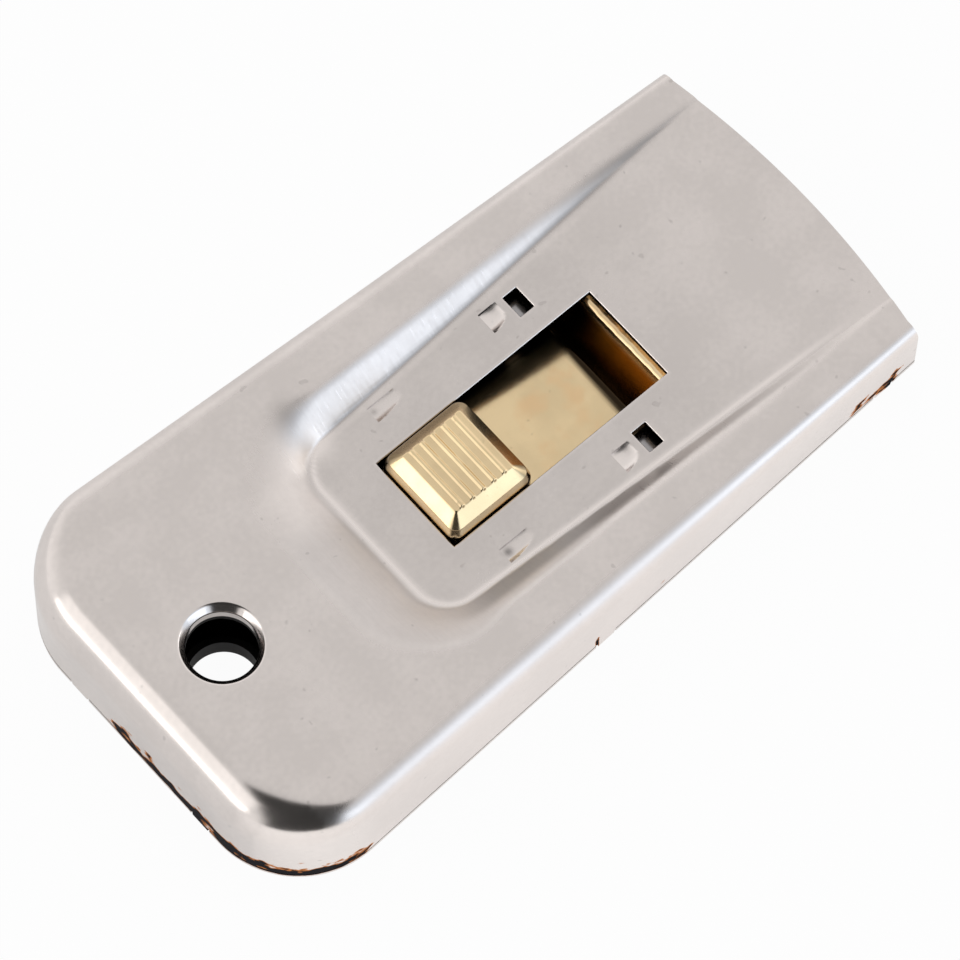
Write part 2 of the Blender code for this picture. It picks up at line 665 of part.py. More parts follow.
def make_thumb_button():
    """The ribbed cap in the window: hollow, with sloping sides and two tabs clinched under the deck."""
    base = DECK_TOP_Z + GAP
    shoulder = TONGUE_HEIGHT
    top = TONGUE_HEIGHT + BUTTON_RISE
    radius = BUTTON_CORNER_RADIUS
    button = loft("thumb_button", [
        button_ring(base, 0.0, 0.0, radius),
        button_ring(shoulder, 0.0, 0.0, radius),
        button_ring(top - BUTTON_SHEET / 2, BUTTON_END_RUN, BUTTON_SIDE_RUN, radius),
        button_ring(top, BUTTON_END_RUN + BUTTON_SHEET / 2, BUTTON_SIDE_RUN + BUTTON_SHEET / 2, radius),
    ], PARTS)
    sheet = BUTTON_SHEET
    hollow = loft("button_hollow", [
        button_ring(base - 0.001, sheet, sheet, radius - sheet / 2),
        button_ring(shoulder, sheet, sheet, radius - sheet / 2),
        button_ring(top - sheet, BUTTON_END_RUN + sheet, BUTTON_SIDE_RUN + sheet, radius - sheet / 2),
    ], TOOLS)
    cut(button, hollow)
    half = BUTTON_WIDTH / 2 - BUTTON_SIDE_RUN - RIB_MARGIN
    for i in range(RIB_COUNT):
        x = BUTTON_X + (i - (RIB_COUNT - 1) / 2) * RIB_PITCH
        outline = arc((x, top + RIB_RISE - RIB_RADIUS), RIB_RADIUS, 0.0, 2 * math.pi, 8)[:-1]
        join(button, outline_solid(f"rib_{i}", outline, -half, half, TOOLS, across=True))
    outer = BUTTON_WIDTH / 2 - TAB_INSET
    inner = outer - sheet
    fold_top = DECK_UNDER_Z - GAP
    fold_low = fold_top - sheet
    tab_x = BUTTON_REAR_X + TAB_FOLD + GAP
    for side, name in ((1, "left"), (-1, "right")):
        end_view = [
            (side * outer, base + sheet), (side * outer, fold_low), (side * (outer - TAB_FOLD), fold_low),
            (side * (outer - TAB_FOLD), fold_top), (side * inner, fold_top), (side * inner, base + sheet),
        ]
        low, high = -tab_x - TAB_LENGTH, -tab_x
        tab = outline_solid(f"tab_{name}", end_view, low, high, TOOLS, across=True)
        tab.rotation_euler.z = math.pi / 2
        join(button, tab)
    finish(button, BRASS, 0.28)
    return button


def make_lower_jaw():
    """The plate under the blade's spine, with two arms that rise to the carrier's deck."""
    half = JAW_WIDTH / 2
    rear = SPINE_REAR_X - CARRIER_SHEET
    plate = box("lower_jaw", (rear, -half, CARRIAGE_LOW_Z), (JAW_TIP_X, half, JAW_TOP_Z), PARTS)
    low_mid = CARRIAGE_LOW_Z + CARRIER_SHEET / 2
    high_mid = ARM_TOP_Z - CARRIER_SHEET / 2
    bend = CARRIER_SHEET
    for side, name in ((1, "left"), (-1, "right")):
        path = filleted([
            (rear + 0.002, low_mid, 0.0),
            (rear, low_mid, bend),
            (rear - JOGGLE_RUN, high_mid, bend),
            (JAW_RIVET_X - ARM_TAIL / 2, high_mid, 0.0),
        ])
        y = side * ARM_OFFSET
        arm = bent_sheet(f"arm_{name}", path, CARRIER_SHEET, y - ARM_WIDTH / 2, y + ARM_WIDTH / 2, TOOLS)
        join(plate, arm)
        low, high = ARM_TOP_Z - CARRIER_SHEET - 0.001, ARM_TOP_Z + 0.001
        radius = JAW_RIVET_RADIUS + GAP
        hole = round_bar(f"arm_rivet_hole_{name}", radius, low, high, (JAW_RIVET_X, y), TOOLS, RIVET_STEPS)
        cut(plate, hole)
    finish(plate, BRASS, 0.35)
    return plate


def make_rivet(name, centre, radius, low, high, colour):
    """A rivet whose shank runs from low to high, with a head past each end."""
    head = radius * RIVET_HEAD_RATIO
    crown = RIVET_HEAD_HEIGHT
    profile = [
        (0, high + crown), (head * 0.6, high + crown * 0.85), (head, high + crown * 0.3), (head, high),
        (radius, high), (radius, low),
        (head, low), (head, low - crown * 0.3), (head * 0.6, low - crown * 0.85), (0, low - crown),
    ]
    rivet = turned(name, profile, centre, RIVET_STEPS, PARTS)
    finish(rivet, colour, 0.35)
    return rivet


def make_razor_blade():
    """The single-edge blade: a thin plate ground to an edge, with a notch in each end."""
    low = BLADE_MID_Z - BLADE_THICKNESS / 2
    high = BLADE_MID_Z + BLADE_THICKNESS / 2
    ground = BLADE_EDGE_X - BLADE_BEVEL
    side_view = [
        (BLADE_REAR_X, low), (ground, low), (BLADE_EDGE_X, BLADE_MID_Z), (ground, high), (BLADE_REAR_X, high),
    ]
    half = BLADE_LENGTH / 2
    blade = outline_solid("razor_blade", side_view, -half, half, PARTS, across=True)
    x = BLADE_REAR_X + BLADE_NOTCH_SETBACK
    for side, name in ((1, "left"), (-1, "right")):
        y0, y1 = sorted((side * (half - BLADE_NOTCH[1]), side * (half + 0.001)))
        corner = (x - BLADE_NOTCH[0] / 2, y0, low - 0.001)
        cut(blade, box(f"notch_{name}", corner, (x + BLADE_NOTCH[0] / 2, y1, high + 0.001), TOOLS))
    finish(blade, BLADE_STEEL, 0.22)
    return blade


def make_blade_spine():
    """The folded back of the blade: a channel that opens forward."""
    low, high = SPINE_LOW_Z, SPINE_TOP_Z
    slot = BLADE_THICKNESS / 2 + GAP / 3
    rear, front = SPINE_REAR_X, SPINE_FRONT_X
    fold = rear + SPINE_WALL
    lower = BLADE_MID_Z - slot
    upper = BLADE_MID_Z + slot
    side_view = [
        (rear, low + SPINE_WALL), (rear + SPINE_WALL, low), (front, low), (front, lower), (fold, lower),
        (fold, upper), (front, upper), (front, high), (rear + SPINE_WALL, high), (rear, high - SPINE_WALL),
    ]
    half = BLADE_LENGTH / 2
    spine = outline_solid("blade_spine", side_view, -half, half, PARTS, across=True)
    finish(spine, BLADE_STEEL, 0.40)
    return spine


def make_pressure_spring():
    """The bowed leaf spring: a crest under the deck, falling in a smooth curve to a foot at each end."""
    crest = SPRING_TOP_Z - SPRING_SHEET / 2
    foot = BASE_SHEET + GAP + SPRING_SHEET / 2
    steps = 6
    fall = []
    for step in range(steps + 1):
        share = step / steps
        fall.append((share * SPRING_REACH, foot + (crest - foot) * (1 + math.cos(math.pi * share)) / 2))
    path = [(SPRING_X - run, z) for run, z in reversed(fall)] + [(SPRING_X + run, z) for run, z in fall[1:]]
    half = SPRING_WIDTH / 2
    spring = bent_sheet("pressure_spring", path, SPRING_SHEET, -half, half, PARTS)
    radius = SPRING_RIVET_RADIUS + GAP
    spot = (SPRING_X, 0.0)
    cut(spring, round_bar("spring_hole", radius, crest - 0.002, crest + 0.002, spot, TOOLS, RIVET_STEPS))
    finish(spring, SPRING_STEEL, 0.40)
    return spring


def mover(name, location, parent=None):
    """An empty that carries what moves on one joint."""
    empty = bpy.data.objects.new(name, None)
    PARTS.objects.link(empty)
    empty.location = location
    if parent:
        carry(parent, empty)
    bpy.context.view_layer.update()
    return empty


def carry(parent, *things):
    """Parent each piece without moving it."""
    bpy.context.view_layer.update()
    for thing in things:
        thing.parent = parent
        thing.matrix_parent_inverse = parent.matrix_world.inverted()


def main():
    """Build the scraper."""
    make_top_cover()
    make_base_plate()
    slide = mover("thumb_slide_axis", (BUTTON_X, 0.0, SPRING_TOP_Z))
    carry(slide, make_pressure_spring())
    press = mover("thumb_press_axis", (BUTTON_X, 0.0, TONGUE_HEIGHT), slide)
    low = ARM_TOP_Z - CARRIER_SHEET - GAP
    high = DECK_TOP_Z + GAP
    spring_low = SPRING_TOP_Z - SPRING_SHEET - GAP
    carry(
        press,
        make_blade_carrier(),
        make_thumb_button(),
        make_lower_jaw(),
        make_rivet("left_jaw_rivet", (JAW_RIVET_X, ARM_OFFSET), JAW_RIVET_RADIUS, low, high, BRASS),
        make_rivet("right_jaw_rivet", (JAW_RIVET_X, -ARM_OFFSET), JAW_RIVET_RADIUS, low, high, BRASS),
        make_rivet("spring_rivet", (SPRING_X, 0.0), SPRING_RIVET_RADIUS, spring_low, high, BRASS),
        make_razor_blade(),
        make_blade_spine(),
    )


main()
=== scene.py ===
import math

import bmesh
import bpy
import numpy as np
from bpy.props import FloatProperty, FloatVectorProperty, IntProperty, PointerProperty
from mathutils import Matrix, Vector


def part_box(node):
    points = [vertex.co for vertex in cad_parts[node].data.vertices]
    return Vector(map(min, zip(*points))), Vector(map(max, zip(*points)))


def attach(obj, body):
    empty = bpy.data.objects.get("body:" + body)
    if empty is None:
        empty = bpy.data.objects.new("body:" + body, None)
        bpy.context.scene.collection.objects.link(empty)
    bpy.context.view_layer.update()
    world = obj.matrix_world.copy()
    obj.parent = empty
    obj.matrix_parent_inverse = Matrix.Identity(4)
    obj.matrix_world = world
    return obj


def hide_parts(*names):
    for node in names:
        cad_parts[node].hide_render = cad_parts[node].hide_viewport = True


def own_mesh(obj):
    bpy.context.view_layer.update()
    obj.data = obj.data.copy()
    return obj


bl_info = {
    "name": "Glass Scraper",
    "version": (1, 0, 0),
    "blender": (4, 5, 0),
    "location": "View3D > Sidebar > Scraper",
    "description": "Pressed-sheet surfaces, metal finishes and a studio for a glass scraper",
    "category": "Object",
}

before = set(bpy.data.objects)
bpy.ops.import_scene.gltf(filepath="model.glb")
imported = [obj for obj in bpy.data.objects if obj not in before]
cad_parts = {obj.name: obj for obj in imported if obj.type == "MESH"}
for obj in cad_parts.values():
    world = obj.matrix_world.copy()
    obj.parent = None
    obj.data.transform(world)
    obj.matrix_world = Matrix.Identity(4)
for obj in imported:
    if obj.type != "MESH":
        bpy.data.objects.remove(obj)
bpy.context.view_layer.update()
MM = 0.001
SHARP = math.radians(35)  # edges that turn by more stay sharp


# Shapes, and numbers for the finishes, in numpy and millimetres


def soft_max(a, b, reach):
    """The larger of two heights; where they differ by less than reach, their crease is rounded."""
    blend = np.clip(1 - np.abs(a - b) / np.maximum(reach, 1e-9), 0, None)
    return np.maximum(a, b) + blend**2 * reach / 4


def soft_min(a, b, reach):
    """The smaller of two heights, rounded as soft_max is."""
    return -soft_max(-a, -b, reach)


def smooth(low, high, value):
    """0 below low, 1 above high, and an S-curve between them."""
    t = np.clip((value - low) / (high - low), 0, 1)
    return t * t * (3 - 2 * t)


def beyond(value, low, high):
    """How far a value lies outside a range, less than nothing inside it."""
    return np.abs(value - (low + high) / 2) - (high - low) / 2


def stations(*stops):
    """Numbers that run through (value, step) stops, evenly spaced by about each stop's step."""
    runs = [np.array([stops[0][0]], float)]
    for (start, step), (end, _) in zip(stops, stops[1:]):
        count = max(1, round(abs(end - start) / step))
        runs.append(np.linspace(start, end, count + 1)[1:])
    return np.concatenate(runs)


def doubled(lines, spots, split=0.012):
    """Grid lines with each spot's line drawn twice, split to either side, for a sheared step."""
    spots = np.asarray(spots, float)
    apart = np.min(np.abs(lines[:, None] - spots[None, :]), axis=1)
    return np.sort(np.concatenate([lines[apart > 0.03], spots - split, spots + split]))


def filleted(corners, steps=8):
    """A path through (across, up, radius) corners, each turned along an arc of its radius."""
    points = np.array([corner[:2] for corner in corners], float)
    runs = [points[:1]]
    for i in range(1, len(points) - 1):
        here, radius = points[i], corners[i][2]
        back, ahead = points[i - 1] - here, points[i + 1] - here
        back, ahead = back / np.hypot(*back), ahead / np.hypot(*ahead)
        half = math.acos(float(np.clip(back @ ahead, -1, 1))) / 2
        middle = here + (back + ahead) / np.hypot(*(back + ahead)) * radius / math.sin(half)
        first = here + back * radius / math.tan(half) - middle
        last = here + ahead * radius / math.tan(half) - middle
        turn = math.atan2(first[0] * last[1] - first[1] * last[0], first @ last)
        angles = np.linspace(0, turn, steps + 1)[:, None]
        arm = first * np.cos(angles) + np.array([-first[1], first[0]]) * np.sin(angles)
        runs.append(middle + arm)
    runs.append(points[-1:])
    return np.concatenate(runs)


def refined(path, step):
    """The same path with its long straights cut into pieces of about a step."""
    gaps = np.hypot(*np.diff(path, axis=0).T)
    runs = [path[:1]]
    for i, gap in enumerate(gaps):
        share = np.linspace(0, 1, max(1, math.ceil(gap / step)) + 1)[1:, None]
        runs.append(path[i] + (path[i + 1] - path[i]) * share)
    return np.concatenate(runs)


def quads(rows, columns, start=0, ring=False, keep=None, flip=False):
    """Corner numbers of a grid's cells. A ring joins the last column to the first."""
    number = start + np.arange(rows * columns).reshape(rows, columns)
    if ring:
        number = np.concatenate([number, number[:, :1]], axis=1)
    cells = np.stack([number[:-1, :-1], number[:-1, 1:], number[1:, 1:], number[1:, :-1]], axis=-1)
    cells = cells[keep] if keep is not None else cells.reshape(-1, 4)
    return cells[:, ::-1] if flip else cells


def make_piece(name, patches, finishes, wall=0.0, offset=-1.0, closed=False):
    """One mesh from grid patches given in millimetres, welded, walled and shaded smooth.

    Each patch is (points as rows x columns x 3, options for quads). A wall is added inwards with
    offset -1 and half to each side with 0. Its inner face takes the second finish. A closed piece
    has its faces turned outwards.
    """
    points, faces, start = [], [], 0
    for grid, options in patches:
        rows, columns = grid.shape[:2]
        points.append(grid.reshape(-1, 3))
        faces.append(quads(rows, columns, start, **options))
        start += rows * columns
    mesh = bpy.data.meshes.new(name)
    mesh.from_pydata(np.concatenate(points) * MM, [], np.concatenate(faces).tolist())
    bm = bmesh.new()
    bm.from_mesh(mesh)
    bmesh.ops.remove_doubles(bm, verts=bm.verts, dist=0.002 * MM)
    bmesh.ops.dissolve_degenerate(bm, dist=0.001 * MM, edges=bm.edges)
    if closed and bm.calc_volume(signed=True) < 0:
        bmesh.ops.reverse_faces(bm, faces=bm.faces)
    bm.to_mesh(mesh)
    bm.free()
    for finish in finishes:
        mesh.materials.append(finish)
    piece = bpy.data.objects.new(name, mesh)
    bpy.context.scene.collection.objects.link(piece)
    if wall:
        shell = piece.modifiers.new("wall", "SOLIDIFY")
        shell.thickness = wall * MM
        shell.offset = offset
        shell.use_even_offset = True
        shell.use_quality_normals = True
        shell.material_offset = 1
        bpy.context.view_layer.update()
        graph = bpy.context.evaluated_depsgraph_get()
        walled = bpy.data.meshes.new_from_object(piece.evaluated_get(graph), depsgraph=graph)
        piece.modifiers.clear()
        piece.data = walled
    piece.data.shade_smooth()
    piece.data.set_sharp_from_angle(angle=SHARP)
    return piece


def paint_points(piece, rule):
    """Store the numbers a rule gives, by name, for the points' places in millimetres."""
    mesh = piece.data
    place = np.empty(len(mesh.vertices) * 3, np.float32)
    mesh.vertices.foreach_get("co", place)
    for name, values in rule(*place.reshape(-1, 3).T / MM).items():
        layer = mesh.attributes.new(name, "FLOAT", "POINT")
        layer.data.foreach_set("value", np.asarray(values, np.float32))


class Housing:
    """The housing's plan and heights in millimetres, from the add-on's sizes."""

    foot_x, foot_radius = -11.0, 4.5  # where the recess's rear corners start, and their radius
    front_bend = 0.62  # share of the side bend's radius that is left at the front
    half_lug, half_notch = 1.25, 1.5  # half of a foot lug, and of the notch that takes it
    bore = 4.0  # radius of the hanging hole

    def __init__(self, sizes):
        self.front = sizes.length / 2 / MM
        self.rear = -self.front
        self.bow = sizes.front_bow / MM
        self.corner_x = self.front - self.bow
        self.half = sizes.front_width / 2 / MM
        self.taper = (sizes.rear_width - sizes.front_width) / 2 / MM / (self.corner_x - self.rear)
        self.radius = sizes.corner_radius / MM
        self.sheet = sizes.sheet / MM
        self.tongue = sizes.recess_height / MM
        self.front_z = self.tongue + 0.15
        self.slope = (sizes.rear_height / MM - self.front_z) / (2 * self.front)
        self.side_bend = sizes.side_bend / MM
        self.rear_bend = sizes.rear_bend / MM
        self.angle = math.atan(self.taper)
        self.turn_x = self.rear + self.radius
        self.turn_y = self.side(self.turn_x) - self.radius / math.cos(self.angle)
        self.straight_x = self.turn_x + self.radius * math.sin(self.angle)
        self.hole_x = self.rear + 12.0
        # Openings and dents: rear x, front x, then the y of the left one's sides
        self.window = (self.front - 56.5, self.front - 25.5, 6.4)
        catch_x = self.window[1] - 6.7
        self.catch = (catch_x - 1.0, catch_x + 1.0, 9.1, 12.1)
        self.dents = ((-5.1, -0.9, 9.9, 11.9), (catch_x - 4.4, catch_x - 1.8, 9.5, 12.3))
        # Middles of the foot lugs: x at the sides, y at the rear
        self.lugs = (self.front - 49.0, self.front - 6.5)
        self.rear_lug = 10.0

    def side(self, x):
        """Distance of a side from the middle line."""
        return self.half + (self.corner_x - x) * self.taper

    def roof(self, x):
        """Height of the plain roof."""
        return self.front_z + (self.front - x) * self.slope

    def rise(self, x, y):
        """How far the recess's slopes stand over its floor, less than nothing inside their foot.

        The slope is 45 degrees beside the foot line, easing to 34 at the front, and 36 behind it.
        Round the rear corners the distance is taken from the corner's centre, and the slope turns
        from one to the other.
        """
        foot_y = 12.1 + (x + 15.5) * 3.8 / 63.5
        along = np.clip(self.foot_x - x, 0, None)
        across = np.clip(np.abs(y) - foot_y + self.foot_radius, 0, None)
        share = np.arctan2(across, along + 1e-9) / (math.pi / 2)
        steep = (0.727 + 0.273 * smooth(0, 1, share)) * (1 - 0.32 * smooth(5, 40, x))
        return (np.hypot(across, along) - self.foot_radius) * steep

    def height(self, x, y):
        """Height of the pressed roof: the recess's floor, its slopes and the roof, blended.

        The recess is the larger of floor and slope, and the whole is the smaller of recess and
        roof. Foot and brow are the reaches of the two blends. A low bead runs along the foot.
        """
        roof = self.roof(x)
        depth = roof - self.tongue
        behind = smooth(-8, -16, x)
        foot = np.minimum(0.2 + 0.15 * behind, depth * 0.8)
        brow = np.minimum(1.0 + 1.8 * behind, depth * 0.9)
        rise = self.rise(x, y)
        bowl = soft_max(self.tongue + 0 * x, self.tongue + rise, foot)
        bead = 0.05 * np.exp(-(((rise + 0.2) / 0.22) ** 2)) * smooth(46, 30, x)
        return soft_min(bowl, roof, brow) + bead

    def past_window(self, x, y):
        """How far a point lies outside the window, less than nothing inside it."""
        rear, front, half = self.window
        return np.maximum(beyond(x, rear, front), np.abs(y) - half)

    def past_catch(self, x, y):
        """The same for the nearer catch hole."""
        rear, front, inner, outer = self.catch
        return np.maximum(beyond(x, rear, front), beyond(np.abs(y), inner, outer))

    def dip(self, x, y, reach=0.12):
        """Drop of the sheet's broken edge round the window and the catch holes.

        It is 0.1 at the edge and falls off by a square to nothing at its reach.
        """
        away = np.minimum(np.abs(self.past_window(x, y)), np.abs(self.past_catch(x, y)))
        return 0.1 * np.clip(1 - away / reach, 0, 1) ** 2

    def dent(self, x, y):
        """Depth of the four dents: deepest and sheared at the rear, run out round at the front.

        A dent's right side falls in as a parabola, and its left side stays steep.
        """
        depth = 0 * x
        for (rear, front, inner, outer), deepest in zip(self.dents, (0.5, 0.72)):
            share = (x - rear) / (front - rear)
            across = (y - np.sign(y) * (inner + outer) / 2) / (outer - inner) * 2
            rim = np.where(across < 0, 0.97 * across**2, 0.15 * across**4)
            bowl = np.clip(1 - share**2 - rim, 0, None)
            inside = (x > rear) & (x < front) & (np.abs(across) < 1)
            depth = np.where(inside, deepest * bowl, depth)
        return depth

    def outline(self, sides, rear_y, steps=28):
        """Plan points and outward normals from the right front, round the rear, to the left front.

        sides are the x stations of the straight sides, rear_y those of the rear edge's left half
        down to the middle. Each rear corner is an arc.
        """
        lean = np.array([[math.sin(self.angle), math.cos(self.angle)]])
        left = np.stack([sides, self.side(sides)], axis=1)
        turn = np.linspace(math.pi / 2 - self.angle, math.pi, steps + 1)[1:]
        around = np.stack([np.cos(turn), np.sin(turn)], axis=1)
        corner = np.array([self.turn_x, self.turn_y]) + self.radius * around
        rear = np.stack([np.full(len(rear_y), self.rear), rear_y], axis=1)
        plan = np.concatenate([left, corner, rear])
        normal = np.concatenate([lean.repeat(len(left), 0), around, 0 * rear + [-1.0, 0.0]])
        flip = np.array([1.0, -1.0])
        return [np.concatenate([half * flip, half[-2::-1]]) for half in (plan, normal)]

    def side_radius(self, x):
        """Radius of the bend between roof and side, tighter towards the front."""
        rest = 1 - self.front_bend
        return self.side_bend * (self.front_bend + rest * smooth(self.front + 4, -5.0, x))

    def bend(self, plan, normal):
        """Radius of the roof's bend at outline points: the sides' bend, widening round the rear."""
        side = self.side_radius(plan[:, 0])
        return side + (self.rear_bend - side) * smooth(0.0, 0.95, -normal[:, 0])

    def near_lug(self, plan, half):
        """Whether each outline point lies within half of a lug's middle."""
        x, y = plan.T
        beside = np.min(np.abs(x[:, None] - np.array(self.lugs)), axis=1) < half
        behind = (x < self.rear + 0.01) & (np.abs(np.abs(y) - self.rear_lug) < half)
        return (beside & (np.abs(y) > 15)) | behind


def lug_edges(middles, half):
    """The two edges of each lug."""
    return [middle + side * half for middle in middles for side in (-1, 1)]


# Where the cover's roof grid ends, its stations start to bow, and its lines start to spread
JOIN_X, BOWED_X, FLAT_Y = -27.0, 30.0, 12.8


def roof_lines(plan):
    """Stations along the roof, lines across its left half, and the squeeze at the sides.

    They double where the sheet is sheared. The squeeze is how much closer the front stations stand
    at the sides, behind the bowed edge.
    """
    catch, window, (rear_dent, front_dent) = plan.catch, plan.window, plan.dents
    lean_x = math.sin(plan.angle) * plan.side_bend * plan.front_bend
    squeeze = (plan.corner_x - lean_x - BOWED_X) / (plan.front - BOWED_X)
    front_lug = BOWED_X + (np.array(lug_edges(plan.lugs[1:], plan.half_lug)) - BOWED_X) / squeeze
    along = stations(
        (JOIN_X, 0.5), (-17.0, 0.2), (-14.6, 0.4), (window[0], 0.4), (rear_dent[0], 0.3),
        (rear_dent[1], 0.5), (front_dent[0], 0.2), (front_dent[1], 0.3), (catch[0], 0.25),
        (catch[1], 0.5), (window[1], 0.5), (BOWED_X, 0.6), (plan.front, 0.6),
    )
    side_lug = lug_edges(plan.lugs[:1], plan.half_lug)
    along = doubled(along, [rear_dent[0], front_dent[0], *side_lug, *front_lug])
    lines = stations(
        (0.0, 0.5), (window[2], 0.45), (catch[2], 0.2), (front_dent[2], 0.2), (rear_dent[2], 0.2),
        (rear_dent[3], 0.2), (catch[3], 0.2), (front_dent[3], 0.25), (FLAT_Y, 0.3),
    )
    lines = doubled(lines, [front_dent[2], rear_dent[2], rear_dent[3], front_dent[3]])
    broken = np.array([0.04, 0.08, 0.12])
    beside = (window[2] + broken, catch[2] - broken, catch[3] + broken)
    lines = np.sort(np.concatenate([lines, *beside]))
    beside = (window[0] - broken, window[1] + broken, catch[0] - broken, catch[1] + broken)
    along = np.sort(np.concatenate([along, *beside]))
    return along, lines, squeeze


def roof_patch(plan, along, lines, left):
    """The roof out to its left brink and its mirror, and which cells lie off the openings.

    The lines run straight past the openings and spread out to the brink beyond them, and each
    station bends to the brink's point by the square of its way across. The height is the pressed
    roof's, less the dents and the broken edges.
    """
    spread = np.linspace(0, 1, 28)[1:]
    spread_y = FLAT_Y + (left[:, 1:] - FLAT_Y) * spread
    half_y = np.concatenate([lines + np.zeros((len(along), 1)), spread_y], axis=1)
    half_x = along[:, None] + (left[:, :1] - along[:, None]) * (half_y / left[:, 1:]) ** 2
    x = np.concatenate([half_x[:, :0:-1], half_x], axis=1)
    y = np.concatenate([-half_y[:, :0:-1], half_y], axis=1)
    roof = np.stack([x, y, plan.height(x, y) - plan.dent(x, y) - plan.dip(x, y)], axis=-1)
    cx, cy = (x[:-1, :-1] + x[1:, 1:]) / 2, np.abs(y[:-1, :-1] + y[1:, 1:]) / 2
    return roof, (plan.past_window(cx, cy) > 0) & (plan.past_catch(cx, cy) > 0)


def hole_patches(plan, ring):
    """The rear roof, from the hole's lip out to a ring of points, and the hole's drawn edge.

    The roof runs straight out from a circle to the ring. The drawn edge is a section turned round
    the hole: from the lip down as a cone and on down as a bore.
    """
    lip, cone, drop = 1.1, 0.75, 2.8
    middle = np.array([plan.hole_x, 0.0])
    angle = np.arctan2(ring[:, 1], ring[:, 0] - plan.hole_x)
    circle = np.stack([np.cos(angle), np.sin(angle)], axis=1)
    share = np.concatenate([np.linspace(0, 0.2, 7), np.linspace(0.2, 1, 20)[1:]])[:, None, None]
    start = middle + circle * (plan.bore + lip)
    flat = start + (ring - start) * share
    rear = np.concatenate([flat, plan.height(flat[..., 0], flat[..., 1])[..., None]], axis=-1)
    section = [(plan.bore, drop, 0), (plan.bore, 0.85, 0.3)]
    section += [(plan.bore + cone, 0.0, 0.6), (plan.bore + lip, 0.0, 0)]
    section = refined(filleted(section), 0.4)[:, :, None, None]
    edge = middle + circle * section[:, 0]
    collar = np.concatenate([edge, plan.roof(edge[..., :1]) - section[:, 1]], axis=-1)
    return rear, collar


def skirt_patch(plan, border, normal, bend):
    """A quarter bend down from the roof and a drop to the foot, lower at the lugs.

    The bend goes out by r sin a and down by r (1 - cos a), with its own r at each point.
    """
    turn = np.linspace(0, math.pi / 2, 10)[:, None, None]
    brink = border - normal * bend[:, None]
    out = brink + normal * bend[:, None] * np.sin(turn)
    top = plan.height(brink[:, 0], brink[:, 1])
    fall = top[:, None] - bend[:, None] * (1 - np.cos(turn))
    foot = np.where(plan.near_lug(border, plan.half_lug), 0.12, 0.92)
    share = np.array([0.25, 0.5, 0.75, 1.0])[:, None]
    wall_z = (top - bend) + (foot - (top - bend)) * share
    wall = np.stack([border[:, 0] + 0 * wall_z, border[:, 1] + 0 * wall_z, wall_z], axis=-1)
    return np.concatenate([np.concatenate([out, fall], axis=-1), wall])


def cover_patches(plan):
    """Grids of the cover's outer face: roof, rear roof, the hole's drawn edge, bend with wall.

    The bend starts at the brink, and the rear roof fills the ring between the roof and the brink.
    """
    along, lines, squeeze = roof_lines(plan)
    edge_x = np.where(along > BOWED_X, BOWED_X + (along - BOWED_X) * squeeze, along)
    sides = np.concatenate([edge_x[::-1], stations((JOIN_X, 0.5), (plan.straight_x, 0.5))[1:]])
    rear_y = stations((plan.turn_y, 0.7), (0.0, 0.7))[1:]
    rear_y = doubled(rear_y, lug_edges([plan.rear_lug], plan.half_lug))[::-1]
    reach = plan.side_radius(sides)
    reach[sides < JOIN_X - 0.01] = 0.0
    border, normal = plan.outline(sides + math.sin(plan.angle) * reach, rear_y)
    bend = plan.bend(border, normal)
    brink = border - normal * bend[:, None]
    count = len(along)
    roof, solid = roof_patch(plan, along, lines, brink[-count:])
    ring = np.concatenate([brink[count - 1:-count + 1], roof[0, ::-1, :2][1:-1]])
    rear, collar = hole_patches(plan, ring)
    return [
        (roof, {"keep": solid, "flip": True}),
        (rear, {"ring": True}),
        (collar, {"ring": True}),
        (skirt_patch(plan, border, normal, bend), {}),
    ]


def base_patch(plan):
    """The base plate as a closed ring: down the hole's collar, under, round the edge and back over.

    On the collar the rows are circles, and at the edge they are the outline moved in by the row's
    inset, and by more at the lugs' notches.
    """
    sides = stations((plan.corner_x, 0.8), (plan.straight_x, 0.8))
    sides = doubled(sides, lug_edges(plan.lugs, plan.half_notch))[::-1]
    rear_y = stations((plan.turn_y, 0.7), (0.0, 0.7))[1:]
    rear_y = doubled(rear_y, lug_edges([plan.rear_lug], plan.half_notch))[::-1]
    border, normal = plan.outline(sides, rear_y)
    bulge = (plan.half**2 + plan.bow**2) / (2 * plan.bow)
    reach = math.asin(plan.half / bulge)
    sweep = np.linspace(reach, -reach, 41)[1:-1]
    arc = np.stack([np.cos(sweep), np.sin(sweep)], axis=1)
    border = np.concatenate([border, np.array([plan.front - bulge, 0.0]) + bulge * arc])
    normal = np.concatenate([normal, arc])
    notch = np.where(plan.near_lug(border, plan.half_notch), 1.1, 0.0)
    middle = np.array([plan.hole_x, 0.0])
    way = border - middle
    circle = way / np.hypot(*way.T)[:, None]
    turn = np.linspace(0, math.pi / 2, 6)
    bore, sheet, collar, draw, corner = plan.bore, 0.8, 3.6, 0.9, 0.15
    quarter = list(zip(1 - np.cos(turn), 1 - np.sin(turn)))
    hole = [(bore, collar), (bore, 1.2)]
    hole += [(bore + draw * gain, draw * rest) for gain, rest in quarter]
    edge = [(corner * rest, corner * gain) for gain, rest in quarter]
    edge += [(corner * gain, sheet - corner * rest) for gain, rest in quarter]
    back = [(5.9, sheet), (5.1, 1.1), (4.8, 1.6), (4.8, collar), (bore, collar)]
    rows = [(middle + circle * size, height) for size, height in hole]
    rows += [(border - normal * (inset + notch)[:, None], height) for inset, height in edge]
    rows += [(middle + circle * size, height) for size, height in back]
    return np.stack([np.column_stack([at, np.full(len(at), height)]) for at, height in rows])


